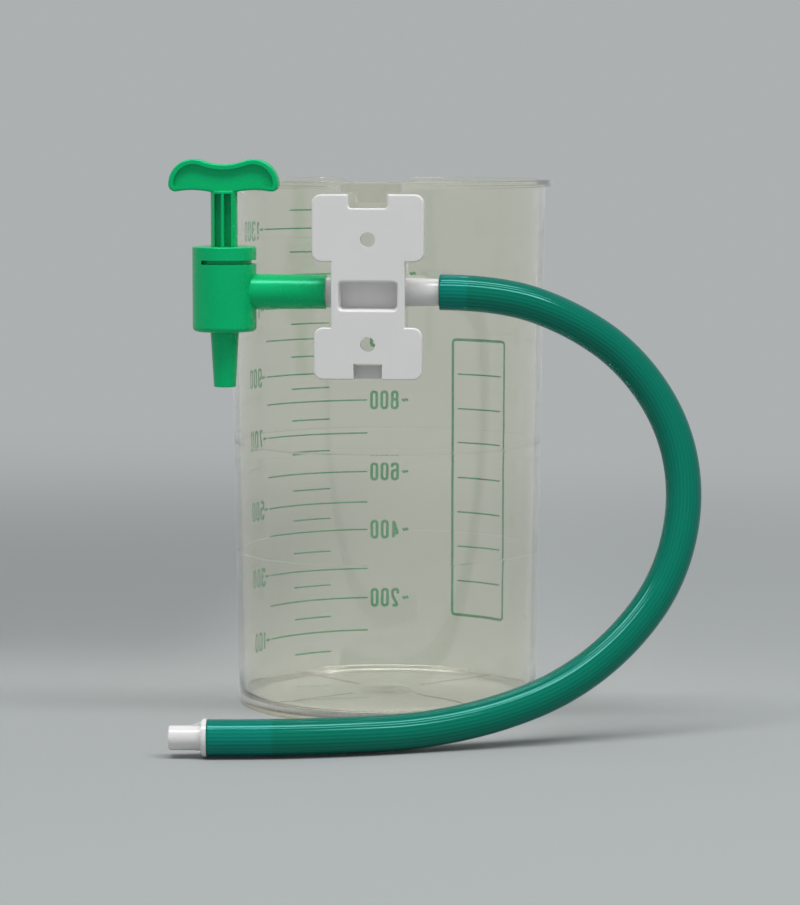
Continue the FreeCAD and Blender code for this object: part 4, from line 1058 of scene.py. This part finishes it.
class CupOperator(bpy.types.Operator):
    """Clear cup with its rim, pouring dip, lug, ribs, port and floor lines."""

    bl_idname = "canister.cup"
    bl_label = "Cup"

    def execute(self, context):
        sizes = context.scene.canister_cup
        shell = cup_shell(sizes)
        added, removed = cup_fittings(sizes)
        combined(shell, added, "UNION")
        combined(shell, removed, "DIFFERENCE")
        shade(shell, 32)
        shell.data.materials.append(cup_material(context.scene.canister_finishes))
        shell.visible_shadow = False
        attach(shell, "canister_set")
        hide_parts("canister")
        return {"FINISHED"}


class PrintOperator(bpy.types.Operator):
    """Printed volume scale and write-on panel on the outside of the cup's far wall."""

    bl_idname = "canister.print"
    bl_label = "Printed scale"

    def execute(self, context):
        cup = context.scene.canister_cup
        sizes = context.scene.canister_print
        ink = ink_material(context.scene.canister_finishes.ink)
        for name, strokes in (("volume_scale", scale_strokes(cup, sizes)),
                              ("write_on_panel", panel_strokes(sizes))):
            piece = print_piece(name, strokes, cup, sizes)
            piece.data.materials.append(ink)
            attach(piece, "canister_set")
        return {"FINISHED"}


class FittingsOperator(bpy.types.Operator):
    """Finishes of the bracket, tee, grommet, tap, cap, plunger, rings and connector."""

    bl_idname = "canister.fittings"
    bl_label = "Fittings"

    def execute(self, context):
        finishes = context.scene.canister_finishes
        for name, label, roughness in (("bracket_plate", "white_bracket", 0.5),
                                       ("vacuum_tee", "white_tee", 0.14),
                                       ("hose_connector", "white_connector", 0.2)):
            dress(name, moulded(label, finishes.white, roughness, 0.03, scatter=0.1))
        for name, label, roughness in (("valve_body", "green_tap", 0.26),
                                       ("valve_cap", "green_cap", 0.26),
                                       ("valve_plunger", "green_plunger", 0.24)):
            dress(name, moulded(label, finishes.tap, roughness, 0.08, gloss=0.7,
                                sheen=(0.2, 1.0, 0.7)))
        rubber = moulded("grommet_rubber", finishes.rubber, 0.6, 0.1)
        for name in ("port_grommet", "stem_seal", "plug_seal"):
            dress(name, rubber)
        return {"FINISHED"}


class CanisterPanel(bpy.types.Panel):
    """Lists the pieces and their settings."""

    bl_idname = "VIEW3D_PT_suction_canister"
    bl_label = "Suction Canister"
    bl_space_type = "VIEW_3D"
    bl_region_type = "UI"
    bl_category = "Canister"

    def draw(self, context):
        for group in SETTINGS:
            box = self.layout.box()
            settings = getattr(context.scene, group)
            for key in settings.bl_rna.properties.keys():
                if key not in ("rna_type", "name"):
                    box.prop(settings, key)
        for operator in OPERATORS:
            self.layout.operator(operator.bl_idname)


SETTINGS = {
    "canister_cup": CupSizes,
    "canister_hose": HoseSizes,
    "canister_print": PrintSizes,
    "canister_finishes": Finishes,
    "canister_stage": StageSettings,
}
OPERATORS = (StageOperator, HoseOperator, CupOperator, PrintOperator, FittingsOperator)


def register():
    for cls in (*SETTINGS.values(), *OPERATORS, CanisterPanel):
        bpy.utils.register_class(cls)
    for name, cls in SETTINGS.items():
        setattr(bpy.types.Scene, name, bpy.props.PointerProperty(type=cls))


def unregister():
    for name in SETTINGS:
        delattr(bpy.types.Scene, name)
    for cls in (CanisterPanel, *OPERATORS, *SETTINGS.values()):
        bpy.utils.unregister_class(cls)


def main():
    register()
    bpy.ops.canister.stage()
    bpy.ops.canister.hose()
    bpy.ops.canister.cup()
    bpy.ops.canister.print()
    bpy.ops.canister.fittings()
    bpy.context.view_layer.update()


if __name__ == "__main__":
    main()
